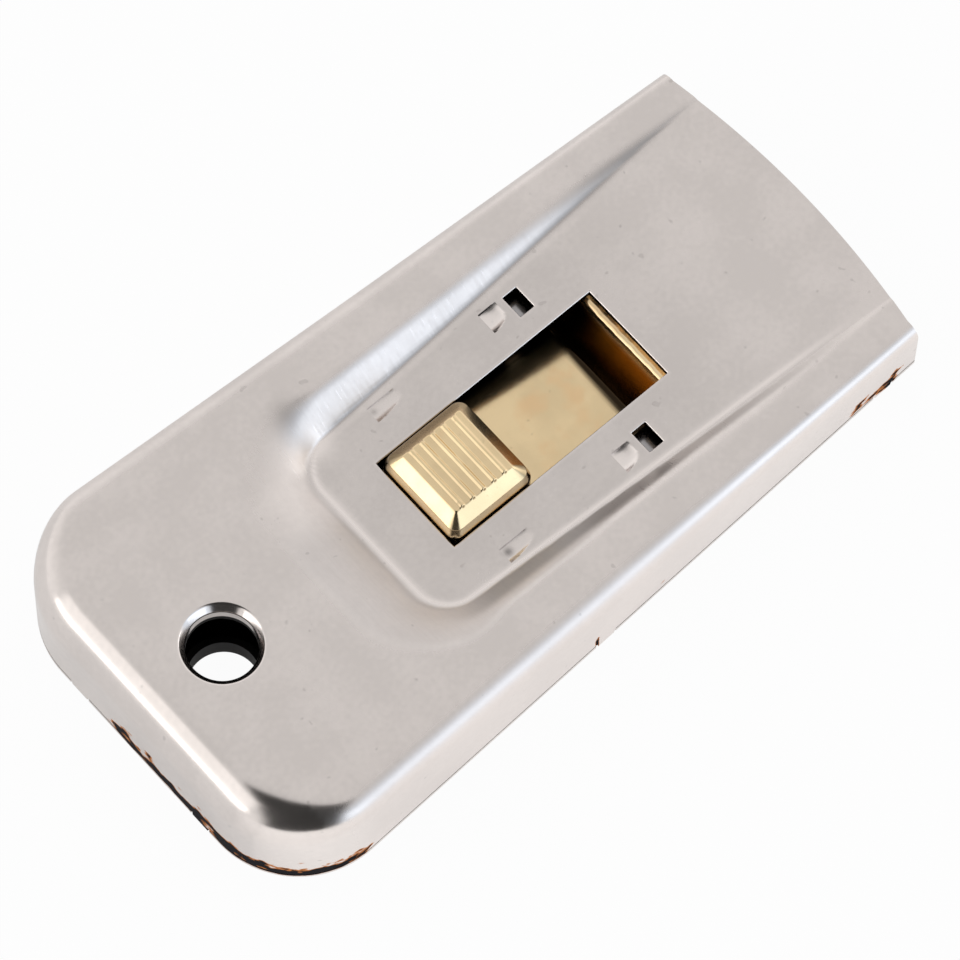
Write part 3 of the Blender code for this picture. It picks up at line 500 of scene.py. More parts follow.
def carrier_patch():
    """The sliding pressing's middle surface, from its path along x and its rows across y.

    Between the tray's sides the path falls from the deck to the toe and rises in the front wall
    and the lip. Beyond them it stays at the deck, and ahead both run down to the jaw. Two pips
    stand up from the deck, and the lip's edge is slightly burred.
    """
    deck, floor, lip, jaw = 5.6, 2.0, 7.0, 4.2
    path = filleted([
        (-15.2, deck, 0), (-2.8, deck, 2.5), (18.2, floor, 0.9), (21.7, lip - 0.5, 0.7),
        (22.0, lip, 0.45), (23.1, lip, 0.6), (25.9, jaw, 0.7), (28.0, jaw, 0.36),
        (28.0, jaw - 0.72, 0),
    ])
    path = refined(path, 0.35)
    px, pz = path.T
    wing_z = np.where(px < 24.5, deck, np.minimum(pz, deck))
    inner_y, wing_y = (8.2, 8.95), 12.5
    lines = stations((0.0, 0.5), (8.1, 0.08), (9.0, 0.18), (wing_y, 0.2))
    spread = np.linspace(0, 1, 12)[1:]
    rim = 13.5 + np.clip(px - 3.4, 0, 5.1)
    wing = wing_y + (rim[:, None] - wing_y) * spread
    half = np.concatenate([lines + 0 * px[:, None], wing], axis=1)
    y = np.concatenate([-half[:, :0:-1], half], axis=1)
    x = px[:, None] + 0 * y
    share = smooth(*inner_y, np.abs(y))
    z = pz[:, None] * (1 - share) + wing_z[:, None] * share
    pip = smooth(1.05, 0.55, np.abs(x + 3.0)) * smooth(1.5, 1.0, np.abs(np.abs(y) - 10.6))
    burr = 0.05 * np.sin(7.3 * y) * np.sin(3.1 * y + 1) * smooth(0.8, 0.2, np.abs(x - 22.4))
    return np.stack([x + burr, y, z + 0.8 * pip + burr * (z > 6)], axis=-1)


def button_patch(sizes):
    """The thumb cap as closed rings from its foot to its middle.

    Each ring is a rounded rectangle with its own inset, height and corner radius: the sides stand,
    lean in, and turn onto the top. On the top stands a row of ribs, each a squared cosine.
    """
    half_x, half_y, middle_x, foot = 5.9, 6.2, -2.4, 6.25
    top, step, rib = sizes.recess_height / MM + 2.7, 0.11, 0.24
    section = [(0, foot, 0), (0.02, 8.5, 0.5), (0.36, 9.75, 0.3), (1.85, top, 0.4), (2.6, top, 0)]
    inset, height = refined(filleted(section, 7), 0.2).T
    more = np.arange(inset[-1] + step, half_x, step)
    inset = np.concatenate([inset, more, [half_x]])
    height = np.concatenate([height, np.full(len(more) + 1, top)])
    radius = np.interp(inset, [0, 0.3, 1.75, 2.4, half_x], [1.3, 1.3, 0.3, 0.1, 0.0])
    run = np.linspace(-1, 1, 101)
    quarter = np.linspace(0, math.pi / 2, 9)
    a, b = (half_x - inset)[:, None], (half_y - inset)[:, None]
    r = np.minimum(radius[:, None], np.minimum(a, b))
    arc_x, arc_y = r * np.cos(quarter[1:-1]), r * np.sin(quarter[1:-1])
    x = np.concatenate([a + 0 * run, a - r + arc_x, (r - a) * run, r - a - arc_y], axis=1)
    y = np.concatenate([(b - r) * run, b - r + arc_y, b + 0 * run, b - r + arc_x], axis=1)
    x, y = np.concatenate([x, -x], axis=1), np.concatenate([y, -y], axis=1)
    phase = (x / (sizes.rib_pitch / MM) + 0.5) % 1 - 0.5
    ridge = np.cos(np.clip(np.abs(phase) / 0.3, 0, 1) * math.pi / 2) ** 2
    on_top = smooth(4.5, 4.2, np.abs(y)) * (np.abs(x) < 3.8) * (inset[:, None] > 1.4)
    z = height[:, None] + 0 * x + rib * ridge * on_top
    return np.stack([x + middle_x, y, z], axis=-1)


def turned_patch(profile, centre, steps):
    """A (radius, height) profile turned round an upright axis: x = r cos a, y = r sin a."""
    radius, height = np.array(profile, float).T
    angle = np.linspace(0, 2 * math.pi, steps, endpoint=False)
    x = centre[0] + radius[:, None] * np.cos(angle)
    y = centre[1] + radius[:, None] * np.sin(angle)
    return np.stack([x, y, height[:, None] + 0 * x], axis=-1)


def worn_and_shaded_foot(x, y):
    """Where the plating has gone along the seam: the right rear corner, a nick, and ahead of it,
    where the dark seam is partly painted shade.
    """
    corner = smooth(-33, -39, x) * smooth(8, 2, y)
    # Ahead, at the front right, the soot also darkens the seam's gap as painted shade
    ahead = smooth(34, 38, x) * smooth(45, 43, x) * (y < 0)
    nick = 0.95 * np.exp(-(((x + 2.4) / 0.5) ** 2)) * (y < 0)
    return np.maximum.reduce((corner, ahead * 0.8, nick, 0.3 + 0 * x))


def cover_paint(plan, x, y, z):
    """What the cover's finish reads on its points: sums of S-curves, spots and ridges."""

    def spot(middle_x, middle_y, reach):
        return np.exp(-(((x - middle_x) / reach) ** 2) - ((y - middle_y) / reach) ** 2)

    rise, fallen = plan.rise(x, y), plan.roof(x) - z
    recess = (np.abs(y) < 18) & (x > -24)
    slope = recess * smooth(0.02, 0.2, z - plan.tongue) * smooth(0.02, 0.5, fallen)
    far_foot = smooth(2, 10, y) * smooth(-11.5, -8.5, x)
    # Painted shade at the rear ends of the rear dents, also kept out of the painted highlights
    # below
    dent_shade = np.minimum(0.95 * spot(-4.4, -10.6, 0.65) + 0.6 * spot(-4.6, 11.3, 0.5), 1)

    # Shadow, painted shade: on the right and front slopes, in the crease at their foot, in a
    # hollow, on the tongue's floor near the window, and in the rear dents
    deep = rise / (plan.roof(x) - plan.tongue)
    right = (y < -8) * smooth(0.0, 0.25, rise) * smooth(0.85, 0.5, deep) * smooth(-16, -8, x)
    right = right * smooth(44, 24, x) * (0.52 + 0.38 * smooth(18, 8, x))
    front = (y > 8) * slope * smooth(22, 38, x) * smooth(47, 45, x) * 0.7
    crease = np.exp(-(((rise - 0.25) / 0.3) ** 2)) * smooth(46, 30, x) * recess
    crease = crease * (0.3 + 0.35 * far_foot) * (1 - spot(-12.2, 12.2, 2.2))
    hollow = 0.5 * spot(-12.9, 15.6, 1.9)
    floor_shade = 0.14 * smooth(-0.5, -1.2, rise) * smooth(36, 18, x) * (np.abs(y) < 16)
    shadow = np.maximum.reduce((right + front, crease, hollow, floor_shade, dent_shade))

    # Haze: rougher and greyer on the rear slope, further ahead on the right, and on the catch
    # holes' walls; on the slopes the greyer tone is painted over the brass button's warm reflection
    ahead = np.where(y < -8, 12.0, 0.0)
    reflection_mute = slope * smooth(-5, -12, x - ahead) * smooth(7, 1, y)
    haze_and_painted_tint = np.maximum(reflection_mute, np.abs(plan.past_catch(x, y)) < 0.03)

    # Edge, painted highlight: the tongue's border, sheared rims, dents, a glint and the right
    # side's bend, all painted bright
    border = np.exp(-(((rise + 0.35) / 0.25) ** 2)) * smooth(46, 30, x) * recess * (1 - far_foot)
    rim = 9 * plan.dip(x, y, 0.25) * (z > plan.tongue - 0.3)
    dents = np.where(x > 5, 0.9, 0.45) * smooth(0.02, 0.1, plan.dent(x, y))
    rim = np.maximum(rim, dents) * (1 - dent_shade)
    beside = 0.3 * (y < -18) * smooth(0.1, 0.6, fallen)
    edge = np.maximum.reduce((border, rim, spot(-12.0, 12.4, 1.9), beside))

    # Polish: smoother at the hole and the rear corners, rougher along the sides' bends
    drawn = smooth(5.8, 5.2, np.hypot(x - plan.hole_x, y)) * 0.10
    corner = 0.07 * smooth(-35, -39, x) * (x < -41)
    side = (0.04 + 0.1 * smooth(25, 0, x)) * smooth(-40, -34, x) * (np.abs(y) > 18)
    polish = drawn + (corner - side) * smooth(0.02, 0.3, fallen)
    grime_and_seam_shade = worn_and_shaded_foot(x, y) * smooth(6.5, 0.9, z)
    return dict(slope=slope, shadow=shadow, haze_and_painted_tint=haze_and_painted_tint, edge=edge, polish=polish, grime_and_seam_shade=grime_and_seam_shade)


def carrier_paint(x, y, z):
    """The front wall tinted orange, painted shade on the flanks, the heel and the wall's left end,
    and the dull deck beside.
    """
    front = smooth(18.0, 18.8, x) * smooth(6.9, 6.2, z)
    flank = smooth(6.4, 7.2, np.abs(y)) * smooth(9.1, 8.9, np.abs(y))
    heel = smooth(16.9, 17.7, x - 0.05 * y) * smooth(20.6, 18.9, x) * 0.99
    end = front * smooth(22.4, 21.6, x) * (0.12 + 0.88 * smooth(0.0, 6.5, y))
    return {
        "orange_tint": front * smooth(22.2, 21.4, x),
        # Painted shade: dark flanks below the deck, the heel of the front wall and the wall's left
        # end
        "painted_shade": np.maximum.reduce((flank * (z < 6.6), heel, end)),
        "dull": smooth(8.9, 9.1, np.abs(y)) * (x < 24),
    }


def button_paint(x, y, z):
    """Painted shade on the left and front flanks."""
    flank = np.maximum(smooth(4.0, 5.3, y), smooth(1.3, 2.6, x))
    return {"painted_shade": 0.5 * flank * smooth(11.2, 10.9, z)}


# Finishes


RUST, SOOT = (0.62, 0.24, 0.07, 1.0), (0.010, 0.008, 0.012, 1.0)
# A greyer nickel for hazy places, painted over the brass button's warm reflection on the slopes
HAZY_PAINTED_NICKEL = (0.78, 0.74, 0.72, 1.0)
# Two near-black tones of the painted shade inside
INSIDE_SHADE = ((0.008, 0.007, 0.007, 1.0), (0.022, 0.018, 0.016, 1.0))
# Colours that numbers on the points mix in: an orange tint, a dull grey, and a near-black painted
# shade
BRASS_MARKS_AND_SHADE = {
    "orange_tint": (0.74, 0.25, 0.02, 1.0),
    "dull": (0.42, 0.40, 0.40, 1.0),
    "painted_shade": (0.022, 0.014, 0.008, 1.0),
}
ALONG, ACROSS = (1, 0.03, 1), (0.03, 1, 1)  # stretches of the lines ground into the steel


class Wire:
    """A node's output. Arithmetic on it adds Math nodes."""

    def __init__(self, tree, out):
        self.tree = tree
        self.out = out

    def maths(self, operation, first, second=0.0):
        """A Math node that takes wires or numbers."""
        node = self.tree.nodes.new("ShaderNodeMath")
        node.operation = operation
        for entry, term in zip(node.inputs, (first, second)):
            if isinstance(term, Wire):
                self.tree.links.new(term.out, entry)
            else:
                entry.default_value = term
        return Wire(self.tree, node.outputs[0])

    def __add__(self, other):
        return self.maths("ADD", self, other)

    def __sub__(self, other):
        return self.maths("SUBTRACT", self, other)

    def __rsub__(self, other):
        return self.maths("SUBTRACT", other, self)

    def __mul__(self, other):
        return self.maths("MULTIPLY", self, other)

    __radd__, __rmul__ = __add__, __mul__

    def __abs__(self):
        return self.maths("ABSOLUTE", self)


class Nodes:
    """A node tree under construction. add makes any node."""

    def __init__(self, tree):
        self.tree = tree

    def add(self, kind, settings=None, values=None, out=0):
        """A node of a kind, its settings made first, then its sockets given values or links."""
        node = self.tree.nodes.new(kind)
        for name, value in (settings or {}).items():
            setattr(node, name, value)
        for name, value in (values or {}).items():
            self.feed(node, name, value)
        return Wire(self.tree, node.outputs[out])

    def feed(self, node, name, value):
        """Set a node's socket to a value, or link it."""
        if isinstance(value, Wire):
            self.tree.links.new(value.out, node.inputs[name])
        else:
            node.inputs[name].default_value = value

    def place(self, axis):
        """One of the Object coordinates, in metres."""
        at = self.add("ShaderNodeTexCoord", out="Object")
        return self.add("ShaderNodeSeparateXYZ", values={0: at}, out=axis)

    def noise(self, size, detail=2.0, stretch=(1, 1, 1), turn=0.0):
        """Noise whose blobs are about a size across in millimetres, turned about Z, stretched."""
        at = self.add("ShaderNodeTexCoord", out="Object")
        values = {"Vector": at, "Rotation": (0, 0, turn), "Scale": stretch}
        at = self.add("ShaderNodeMapping", values=values)
        values = {"Vector": at, "Scale": 1 / (size * MM), "Detail": detail}
        return self.add("ShaderNodeTexNoise", values=values)

    def step(self, value, low, high, to_low=0.0, to_high=1.0):
        """A value carried from one range to another with a smooth start and end."""
        values = {0: value, 1: low, 2: high, 3: to_low, 4: to_high}
        return self.add("ShaderNodeMapRange", {"interpolation_type": "SMOOTHSTEP"}, values)

    def mix(self, share, first, second):
        """A colour between two colours."""
        values = {0: share, 6: first, 7: second}
        return self.add("ShaderNodeMix", {"data_type": "RGBA"}, values, out=2)

    def point(self, name):
        """A number stored on the points, 0 where there is none."""
        return self.add("ShaderNodeAttribute", {"attribute_name": name}, out="Fac")

    def toward(self, way, aim):
        """How nearly a direction points at an aim, 1 when it does."""
        settings = {"operation": "DOT_PRODUCT"}
        return self.add("ShaderNodeVectorMath", settings, {0: way, 1: aim}, out="Value")


class Finish(Nodes):
    """A metal finish: a Principled shader, and what varies over its surface."""

    def __init__(self, name, metallic=1.0):
        self.material = bpy.data.materials.new(name)
        self.material.use_nodes = True
        super().__init__(self.material.node_tree)
        self.shader = self.tree.nodes["Principled BSDF"]
        self.shader.inputs["Metallic"].default_value = metallic

    def colour(self, wire):
        self.feed(self.shader, "Base Color", wire)

    def roughness(self, wire):
        self.feed(self.shader, "Roughness", wire)

    def bump(self, height, depth):
        """Relief of a depth in millimetres from a height between 0 and 1."""
        values = {"Height": height, "Distance": depth * MM, "Strength": 1.0}
        self.feed(self.shader, "Normal", self.add("ShaderNodeBump", values=values))

    def mottle(self, field, colour, low, high):
        """A colour shaded by one factor where a field is low, and another where it is high."""
        return self.mix(self.step(field, 0.35, 0.7), shade(colour, low), shade(colour, high))


def shade(colour, factor):
    """A colour made darker or lighter."""
    return (*(min(1.0, part * factor) for part in colour), 1.0)


def nickel_finish(looks, name="satin_nickel"):
    """Plated pressed sheet: satin and faintly mottled, with drawing lines, specks, rust and soot,
    and painted shade and highlights.

    Of the numbers on its points, slope roughens and lines it, shadow paints shade, haze dulls it
    and paints a greyer tone over reflections, edge paints highlights, polish smooths, and grime
    lets rust and soot bite through the plating and darkens the seam's gap as painted shade.
    """
    made = Finish(name)
    base = tuple(looks.nickel)
    broad = made.noise(7.0, 3.0)
    grain = made.noise(0.14)
    lines = made.noise(0.22, stretch=(1, 0.08, 0.08), turn=0.12)
    slope, haze_and_painted_tint = made.point("slope"), made.point("haze_and_painted_tint")
    cloud = made.step(broad + 0.5 * made.noise(0.7, 3.0), 0.55, 1.0)
    tone = made.mix(cloud, shade(base, 0.955), shade(base, 1.035))
    # Painted shade, a greyer tone painted over reflections, and painted highlights, each from its
    # number on the points
    tone = made.mix(made.point("shadow"), tone, shade(base, 0.35))
    tone = made.mix(haze_and_painted_tint * 0.4, tone, HAZY_PAINTED_NICKEL)
    tone = made.mix(made.point("edge"), tone, shade(base, 1.22))
    specks = made.step(made.noise(1.3, 1.0), 0.745, 0.79)
    tone = made.mix(specks * 0.35, tone, shade(base, 0.6))
    # Rust and soot, which along the front right seam also stand for painted shade in its gap
    bite = made.noise(1.9, 3.5, stretch=(0.6, 0.6, 1)) + made.point("grime_and_seam_shade") * 0.54
    tone = made.mix(made.step(bite, 0.82, 0.87), tone, RUST)
    made.colour(made.mix(made.step(bite, 0.88, 0.93), tone, SOOT))
    satin = looks.nickel_roughness + 0.05 * (broad - 0.5) + 0.08 * (grain - 0.5)
    satin = satin + made.step(bite, 0.82, 0.9) * 0.6 + slope * (0.07 + (lines - 0.5) * 0.22)
    made.roughness(satin + haze_and_painted_tint * 0.3 - made.point("polish"))
    made.bump(grain * 0.5 + lines * slope * 0.5 + made.noise(2.6) * 1.2, 0.0035)
    return made.material


def inside_shade_finish():
    """The unplated inner face of the sheet: dark and dull, its near-black colour painted shade."""
    made = Finish("painted_shade_inside", metallic=0.0)
    made.shader.inputs["Specular IOR Level"].default_value = 0.15
    blotches = made.noise(3.0, 3.0)
    made.colour(made.mix(made.step(blotches, 0.3, 0.7), *INSIDE_SHADE))
    made.roughness(0.45 + 0.15 * blotches)
    return made.material


def brass_finish(looks, name, roughness, stain=0.5, lines=0.0, depth=0.002):
    """Rolled brass sheet: warm, with broad pinkish stains, fine grain and faint rolling lines.

    Of the numbers on its points, burnt turns it orange, dull grey, and oxide paints it nearly black
    as shade.
    """
    made = Finish(name)
    base = tuple(looks.brass)
    broad = made.noise(6.0, 3.0)
    grain = made.noise(0.12)
    roll = made.noise(0.10, stretch=(1, 0.05, 1))
    warm = (base[0], base[1] * 0.86, base[2] * 0.78, 1.0)
    tone = made.mottle(broad, base, 1.05, 0.93)
    tone = made.mix(made.step(made.noise(4.5, 3.0), 0.5, 0.72) * stain, tone, warm)
    spots = made.step(made.noise(0.9, 1.0), 0.72, 0.78)
    tone = made.mix(spots * 0.4 * stain, tone, shade(base, 0.55))
    for tone_name, colour in BRASS_MARKS_AND_SHADE.items():
        tone = made.mix(made.point(tone_name), tone, colour)
    made.colour(tone)
    made.roughness(roughness + 0.10 * (grain - 0.5) + 0.06 * (broad - 0.5) + lines * (roll - 0.5))
    made.bump(grain + roll * lines * 4 + made.noise(1.8), depth)
    return made.material


def steel_finish(name, colour, roughness, stretch, lines):
    """Ground or tempered steel with fine lines along or across the blade."""
    made = Finish(name)
    ground = made.noise(0.06, stretch=stretch)
    broad = made.noise(5.0, 3.0)
    made.colour(made.mottle(broad, tuple(colour), 0.92, 1.05))
    made.roughness(roughness + lines * (ground - 0.5) + 0.06 * (broad - 0.5))
    made.bump(ground, 0.001)
    return made.material


def blade_finish(looks):
    """The blade's flats are polished along it, and its ground bevel across it, dull and bright."""
    made = Finish("blade_steel")
    base = tuple(looks.steel)
    bevel_rear, bevel_front = 0.04132, 0.04142
    bevel = made.step(made.place("X"), bevel_rear, bevel_front)
    along = made.noise(0.05, stretch=ALONG)
    across = made.noise(0.05, stretch=(0.04, 1, 1))
    tone = made.mottle(made.noise(4.0, 3.0), base, 0.9, 1.05)
    made.colour(made.mix(bevel * 0.8, tone, shade(base, 1.25)))
    made.roughness(0.2 + 0.12 * (along - 0.5) + bevel * (0.12 + 0.2 * (across - 0.5)))
    made.bump(along * (1 - bevel) + across * bevel, 0.0008)
    return made.material


# The add-on


class ScraperSizes(bpy.types.PropertyGroup):
    length: FloatProperty(
        name="Length", description="Housing from end to end", default=0.096, unit="LENGTH"
    )
    front_width: FloatProperty(
        name="Front width", description="Across the front corners", default=0.042, unit="LENGTH"
    )
    rear_width: FloatProperty(
        name="Rear width", description="Across the sides, carried on to the rear end",
        default=0.04998, unit="LENGTH",
    )
    front_bow: FloatProperty(
        name="Front bow", description="Middle of the front edge ahead of its corners",
        default=0.0016, unit="LENGTH",
    )
    corner_radius: FloatProperty(
        name="Corner radius", description="Rear corners in plan", default=0.0115, unit="LENGTH"
    )
    rear_height: FloatProperty(
        name="Rear height", description="Roof at the rear", default=0.0145, unit="LENGTH"
    )
    recess_height: FloatProperty(
        name="Recess height", description="Floor of the sunk tongue", default=0.0085, unit="LENGTH"
    )
    sheet: FloatProperty(
        name="Sheet", description="Thickness of the cover", default=0.0008, unit="LENGTH"
    )
    side_bend: FloatProperty(
        name="Side bend", description="Radius between roof and sides", default=0.0029, unit="LENGTH"
    )
    rear_bend: FloatProperty(
        name="Rear bend", description="Radius between roof and rear wall", default=0.0052,
        unit="LENGTH",
    )
    rib_pitch: FloatProperty(
        name="Rib pitch", description="Between the button's ribs", default=0.00152, unit="LENGTH"
    )
    rivet_sides: IntProperty(
        name="Rivet sides", description="Points round a rivet", default=40, min=12
    )


class ScraperLooks(bpy.types.PropertyGroup):
    nickel: FloatVectorProperty(
        name="Nickel", description="Plated sheet", subtype="COLOR",
        default=(0.80, 0.735, 0.70), min=0, max=1,
    )
    nickel_roughness: FloatProperty(
        name="Nickel roughness", description="Satin of the plated sheet", subtype="FACTOR",
        default=0.25,
    )
    brass: FloatVectorProperty(
        name="Brass", description="Button, tray and jaws", subtype="COLOR",
        default=(0.89, 0.69, 0.415), min=0, max=1,
    )
    steel: FloatVectorProperty(
        name="Steel", description="Blade and its spine", subtype="COLOR",
        default=(0.62, 0.63, 0.65), min=0, max=1,
    )
    spring: FloatVectorProperty(
        name="Spring", description="Tempered spring strip", subtype="COLOR",
        default=(0.20, 0.21, 0.24), min=0, max=1,
    )


def settle(piece, body, node):
    """Give a piece its body and the node whose place it takes."""
    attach(piece, body)
    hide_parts(node)


class SCRAPER_OT_cover(bpy.types.Operator):
    """Press the cover: wedge roof, sunk tongue, window, catches, drawn hole and walls"""

    bl_idname = "scraper.cover"
    bl_label = "Cover"

    def execute(self, context):
        plan = Housing(context.scene.scraper_sizes)
        # The second finish, on the sheet's inner face, is the inside's painted shade
        finishes = (nickel_finish(context.scene.scraper_looks), inside_shade_finish())
        piece = make_piece("pressed_cover", cover_patches(plan), finishes, wall=plan.sheet)
        self.darken(piece.data, plan)
        paint_points(piece, lambda x, y, z: cover_paint(plan, x, y, z))
        settle(piece, "housing", "top_cover")
        return {"FINISHED"}

    def darken(self, mesh, plan):
        """Give the dents' sheared faces and the bore under the hole's cone the inside's finish, as
        painted shade.

        A sheared face lies deep in a dent and stands steep. The left rear dent has none.
        """
        deep, steep, lowest, cone = 0.17, 0.45, 7.0, 1.9
        faces = [(*face.center / MM, face.normal.z, face.material_index) for face in mesh.polygons]
        x, y, z, upright, index = np.array(faces).T
        sheared = (plan.dent(x, y) > deep) & (np.abs(upright) < steep) & (z > lowest)
        sheared &= (x > 0) | (y < 0)
        bore = (np.hypot(x - plan.hole_x, y) < plan.bore + 0.05) & (plan.roof(x) - z > cone)
        index[sheared | bore] = 1
        mesh.polygons.foreach_set("material_index", index.astype(np.int32))


class SCRAPER_OT_base(bpy.types.Operator):
    """Cut the base plate: rounded edge, notches for the lugs and a drawn-up collar"""

    bl_idname = "scraper.base"
    bl_label = "Base"

    def execute(self, context):
        plan = Housing(context.scene.scraper_sizes)
        patches = [(base_patch(plan), {"ring": True})]
        finishes = (nickel_finish(context.scene.scraper_looks, "base_nickel"), inside_shade_finish())
        piece = make_piece("base_sheet", patches, finishes, closed=True)
        inner_z, seam_z = 0.7, 0.3
        # The faces over inner_z, inside the housing, take the inside's finish: painted shade
        heights = np.array([face.center.z for face in piece.data.polygons]) / MM
        piece.data.polygons.foreach_set("material_index", (heights > inner_z).astype(np.int32))
        paint_points(piece, lambda x, y, z: {"grime_and_seam_shade": worn_and_shaded_foot(x, y) * (z > seam_z)})
        settle(piece, "housing", "base_plate")
        return {"FINISHED"}


class SCRAPER_OT_carrier(bpy.types.Operator):
    """Press the sliding carrier: deck, falling tray, curved front wall, lip and upper jaw"""

    bl_idname = "scraper.carrier"
    bl_label = "Carrier"

    def execute(self, context):
        looks = context.scene.scraper_looks
        brass = brass_finish(looks, "tray_brass", 0.16, stain=0.6, lines=0.05)
        patches = [(carrier_patch(), {"flip": True})]
        piece = make_piece("brass_carrier", patches, (brass,), wall=0.6, offset=0.0)
        paint_points(piece, carrier_paint)
        settle(piece, "blade_carriage", "blade_carrier")
        return {"FINISHED"}


class SCRAPER_OT_button(bpy.types.Operator):
    """Press the ribbed thumb button"""

    bl_idname = "scraper.button"
    bl_label = "Thumb button"

    def execute(self, context):
        looks, patch = context.scene.scraper_looks, button_patch(context.scene.scraper_sizes)
        brass = brass_finish(looks, "button_brass", 0.2, stain=0.35, depth=0.001)
        piece = make_piece("ribbed_button", [(patch, {"ring": True})], (brass,), wall=0.5)
        paint_points(piece, button_paint)
        settle(piece, "blade_carriage", "thumb_button")
        return {"FINISHED"}


class SCRAPER_OT_rivets(bpy.types.Operator):
    """Turn the three rivets with domed heads"""

    bl_idname = "scraper.rivets"
    bl_label = "Rivets"

    # Half a rivet's section, from its middle out and in to its shank: shares of the head's radius,
    # and drops in millimetres
    section = ((0, 0), (0.35, 0.03), (0.68, 0.12), (0.9, 0.28), (1, 0.42), (1, 0.5), (4 / 7, 0.5))

    def execute(self, context):
        brass = brass_finish(context.scene.scraper_looks, "rivet_brass", 0.26, stain=0.3)
        sides = context.scene.scraper_sizes.rivet_sides
        for node in ("left_jaw_rivet", "right_jaw_rivet", "spring_rivet"):
            low, high = (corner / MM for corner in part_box(node))
            centre = ((low.x + high.x) / 2, (low.y + high.y) / 2)
            head = (high.x - low.x) / 2
            top = [(head * share, high.z - drop) for share, drop in self.section]
            foot = [(head * share, low.z + drop) for share, drop in reversed(self.section)]
            patch = turned_patch(top + foot, centre, sides)
            name = node.replace("rivet", "pin")
            piece = make_piece(name, [(patch, {"ring": True})], (brass,), closed=True)
            settle(piece, "blade_carriage", node)
        return {"FINISHED"}


class SCRAPER_OT_blade(bpy.types.Operator):
    """Finish the razor blade, its spine, the lower jaw and the spring"""

    bl_idname = "scraper.blade"
    bl_label = "Blade and spring"

    def execute(self, context):
        looks = context.scene.scraper_looks
        finishes = {
            "razor_blade": blade_finish(looks),
            "blade_spine": steel_finish("spine_steel", looks.steel, 0.32, ALONG, 0.15),
            "lower_jaw": brass_finish(looks, "jaw_brass", 0.24, stain=0.4),
            "pressure_spring": steel_finish("spring_steel", looks.spring, 0.3, ACROSS, 0.2),
        }
        for node, finish in finishes.items():
            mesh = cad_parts[node].data
            mesh.materials.clear()
            mesh.materials.append(finish)
        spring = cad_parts["pressure_spring"]
        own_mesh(spring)
        return {"FINISHED"}


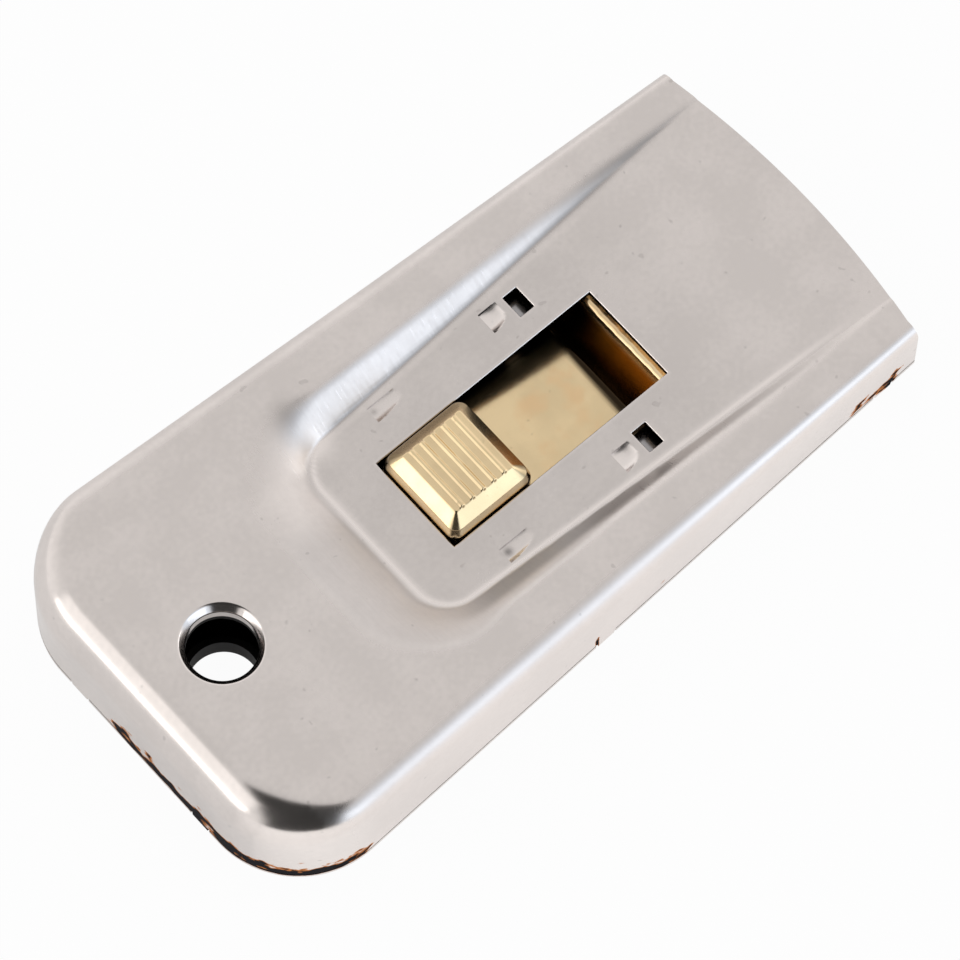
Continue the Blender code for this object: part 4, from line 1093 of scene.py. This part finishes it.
class SCRAPER_OT_stage(bpy.types.Operator):
    """Set the white floor, the studio's light and the camera"""

    bl_idname = "scraper.stage"
    bl_label = "Stage"

    # Area lamps aimed at the middle: name, place and size in metres, watts, colour
    lamps = (
        ("side_softbox", (0.16, -0.75, 0.26), (0.6, 0.34), 0.34, (0.86, 0.93, 1.0)),
        ("corner_softbox", (0.72, -0.34, 0.11), (0.35, 0.14), 0.14, (0.95, 0.98, 1.0)),
        ("rear_strip", (-0.74, 0.21, 0.20), (0.6, 0.16), 0.40, (1.0, 0.99, 0.97)),
        ("rear_softbox", (-0.66, 0.18, 0.46), (0.6, 0.45), 0.38, (1.0, 0.99, 0.97)),
    )

    def execute(self, context):
        scene = context.scene
        self.floor()
        self.world(scene)
        self.light(scene)
        self.camera(scene)
        scene.view_settings.view_transform = "Standard"
        return {"FINISHED"}

    def floor(self):
        """White paper a little under the base, white to the camera and in the metal, with painted
        light: brighter in reflections beside the object's right side.
        """
        bpy.ops.mesh.primitive_plane_add(size=6.0, location=(0, 0, -0.0002))
        floor = bpy.context.object
        floor.name = "floor"
        material = bpy.data.materials.new("white_paper")
        material.use_nodes = True
        made = Nodes(material.node_tree)
        made.tree.nodes.remove(made.tree.nodes["Principled BSDF"])
        ray = made.add("ShaderNodeLightPath", out="Is Camera Ray")
        gloss = made.add("ShaderNodeLightPath", out="Is Glossy Ray")
        values = {"Color": (1, 1, 1, 1), "Strength": 1.0}
        white = made.add("ShaderNodeEmission", values=values)
        paper = made.add("ShaderNodeBsdfDiffuse", values={"Color": (0.9, 0.9, 0.9, 1)})
        # Painted light: in reflections the paper glows brighter beside the object's right side, and
        # a little more further out
        across = made.place("Y")
        beside = made.step(across, -0.010, -0.028)
        far = made.step(across, -0.036, -0.050)
        share = ray * 0.96 + gloss * (0.45 + 0.45 * beside + 0.1 * far)
        mixed = made.add("ShaderNodeMixShader", values={0: share, 1: paper, 2: white})
        made.feed(made.tree.nodes["Material Output"], "Surface", mixed)
        floor.data.materials.append(material)

    def world(self, scene):
        """A pale studio, dimmer high up and behind, cooler in front, with a dark strip on one side.

        The camera sees plain white.
        """
        world = bpy.data.worlds.new("studio")
        scene.world = world
        world.use_nodes = True
        made = Nodes(world.node_tree)
        ray = made.add("ShaderNodeLightPath", out="Is Camera Ray")
        way = made.add("ShaderNodeTexCoord", out="Generated")
        up = made.add("ShaderNodeSeparateXYZ", values={0: way}, out="Z")
        level = made.step(up, 0.15, 0.8, 0.95, 0.735)
        cool = made.step(made.toward(way, (0.26, -0.93, 0.2)), 0.72, 0.92)
        rear = made.step(made.toward(way, (-0.93, 0.27, 0.2)), 0.80, 0.95)
        across = made.step(abs(made.toward(way, (0.728, -0.685, 0))), 0.52, 0.38)
        dark = across * made.step(made.toward(way, (-0.685, -0.728, 0)), 0.1, 0.2)
        level = (level + cool * 0.1 - rear * 0.1) * (1 - dark * 0.95)
        colour = made.mix(cool * (1 - ray), (1.0, 1.0, 1.0, 1.0), (0.82, 0.93, 1.06, 1.0))
        background = made.tree.nodes["Background"]
        made.feed(background, "Strength", level * (1 - ray) + ray)
        made.feed(background, "Color", colour)

    def light(self, scene):
        for name, place, size, power, colour in self.lamps:
            lamp = bpy.data.lights.new(name, "AREA")
            lamp.shape = "RECTANGLE"
            lamp.size, lamp.size_y = size
            lamp.energy = power
            lamp.color = colour
            stand = bpy.data.objects.new(name, lamp)
            stand.location = place
            stand.rotation_euler = (-Vector(place)).to_track_quat("-Z", "Y").to_euler()
            scene.collection.objects.link(stand)

    def camera(self, scene):
        """The photograph's view, through a long lens, by its turn, tilt, roll and distance."""
        turn, tilt, roll = (math.radians(angle) for angle in (-43.325, 22.09, 2.061))
        target, distance = Vector((-0.312, -1.404, 5.0)) * MM, 0.87155
        pose = Matrix.Rotation(turn, 4, "Z") @ Matrix.Rotation(tilt, 4, "X")
        pose = pose @ Matrix.Rotation(roll, 4, "Z") @ Matrix.Translation((0, 0, distance))
        lens = bpy.data.cameras.new("camera")
        lens.sensor_width = 36.0
        lens.lens = 300.0
        lens.clip_start = 0.01
        camera = bpy.data.objects.new("camera", lens)
        camera.matrix_world = Matrix.Translation(target) @ pose
        scene.collection.objects.link(camera)
        scene.camera = camera


STEPS = (
    SCRAPER_OT_stage,
    SCRAPER_OT_cover,
    SCRAPER_OT_base,
    SCRAPER_OT_carrier,
    SCRAPER_OT_button,
    SCRAPER_OT_rivets,
    SCRAPER_OT_blade,
)


class SCRAPER_PT_panel(bpy.types.Panel):
    """The scraper's sizes, looks and steps"""

    bl_idname = "SCRAPER_PT_panel"
    bl_label = "Glass Scraper"
    bl_space_type = "VIEW_3D"
    bl_region_type = "UI"
    bl_category = "Scraper"

    def draw(self, context):
        for group in (context.scene.scraper_sizes, context.scene.scraper_looks):
            box = self.layout.box()
            for name in group.__annotations__:
                box.prop(group, name)
        for step in STEPS:
            self.layout.operator(step.bl_idname)


CLASSES = (ScraperSizes, ScraperLooks, *STEPS, SCRAPER_PT_panel)


def register():
    for item in CLASSES:
        bpy.utils.register_class(item)
    bpy.types.Scene.scraper_sizes = PointerProperty(type=ScraperSizes)
    bpy.types.Scene.scraper_looks = PointerProperty(type=ScraperLooks)


def unregister():
    del bpy.types.Scene.scraper_looks
    del bpy.types.Scene.scraper_sizes
    for item in reversed(CLASSES):
        bpy.utils.unregister_class(item)


def main():
    register()
    bpy.ops.scraper.stage()
    bpy.ops.scraper.cover()
    bpy.ops.scraper.base()
    bpy.ops.scraper.carrier()
    bpy.ops.scraper.button()
    bpy.ops.scraper.rivets()
    bpy.ops.scraper.blade()


if __name__ == "__main__":
    main()
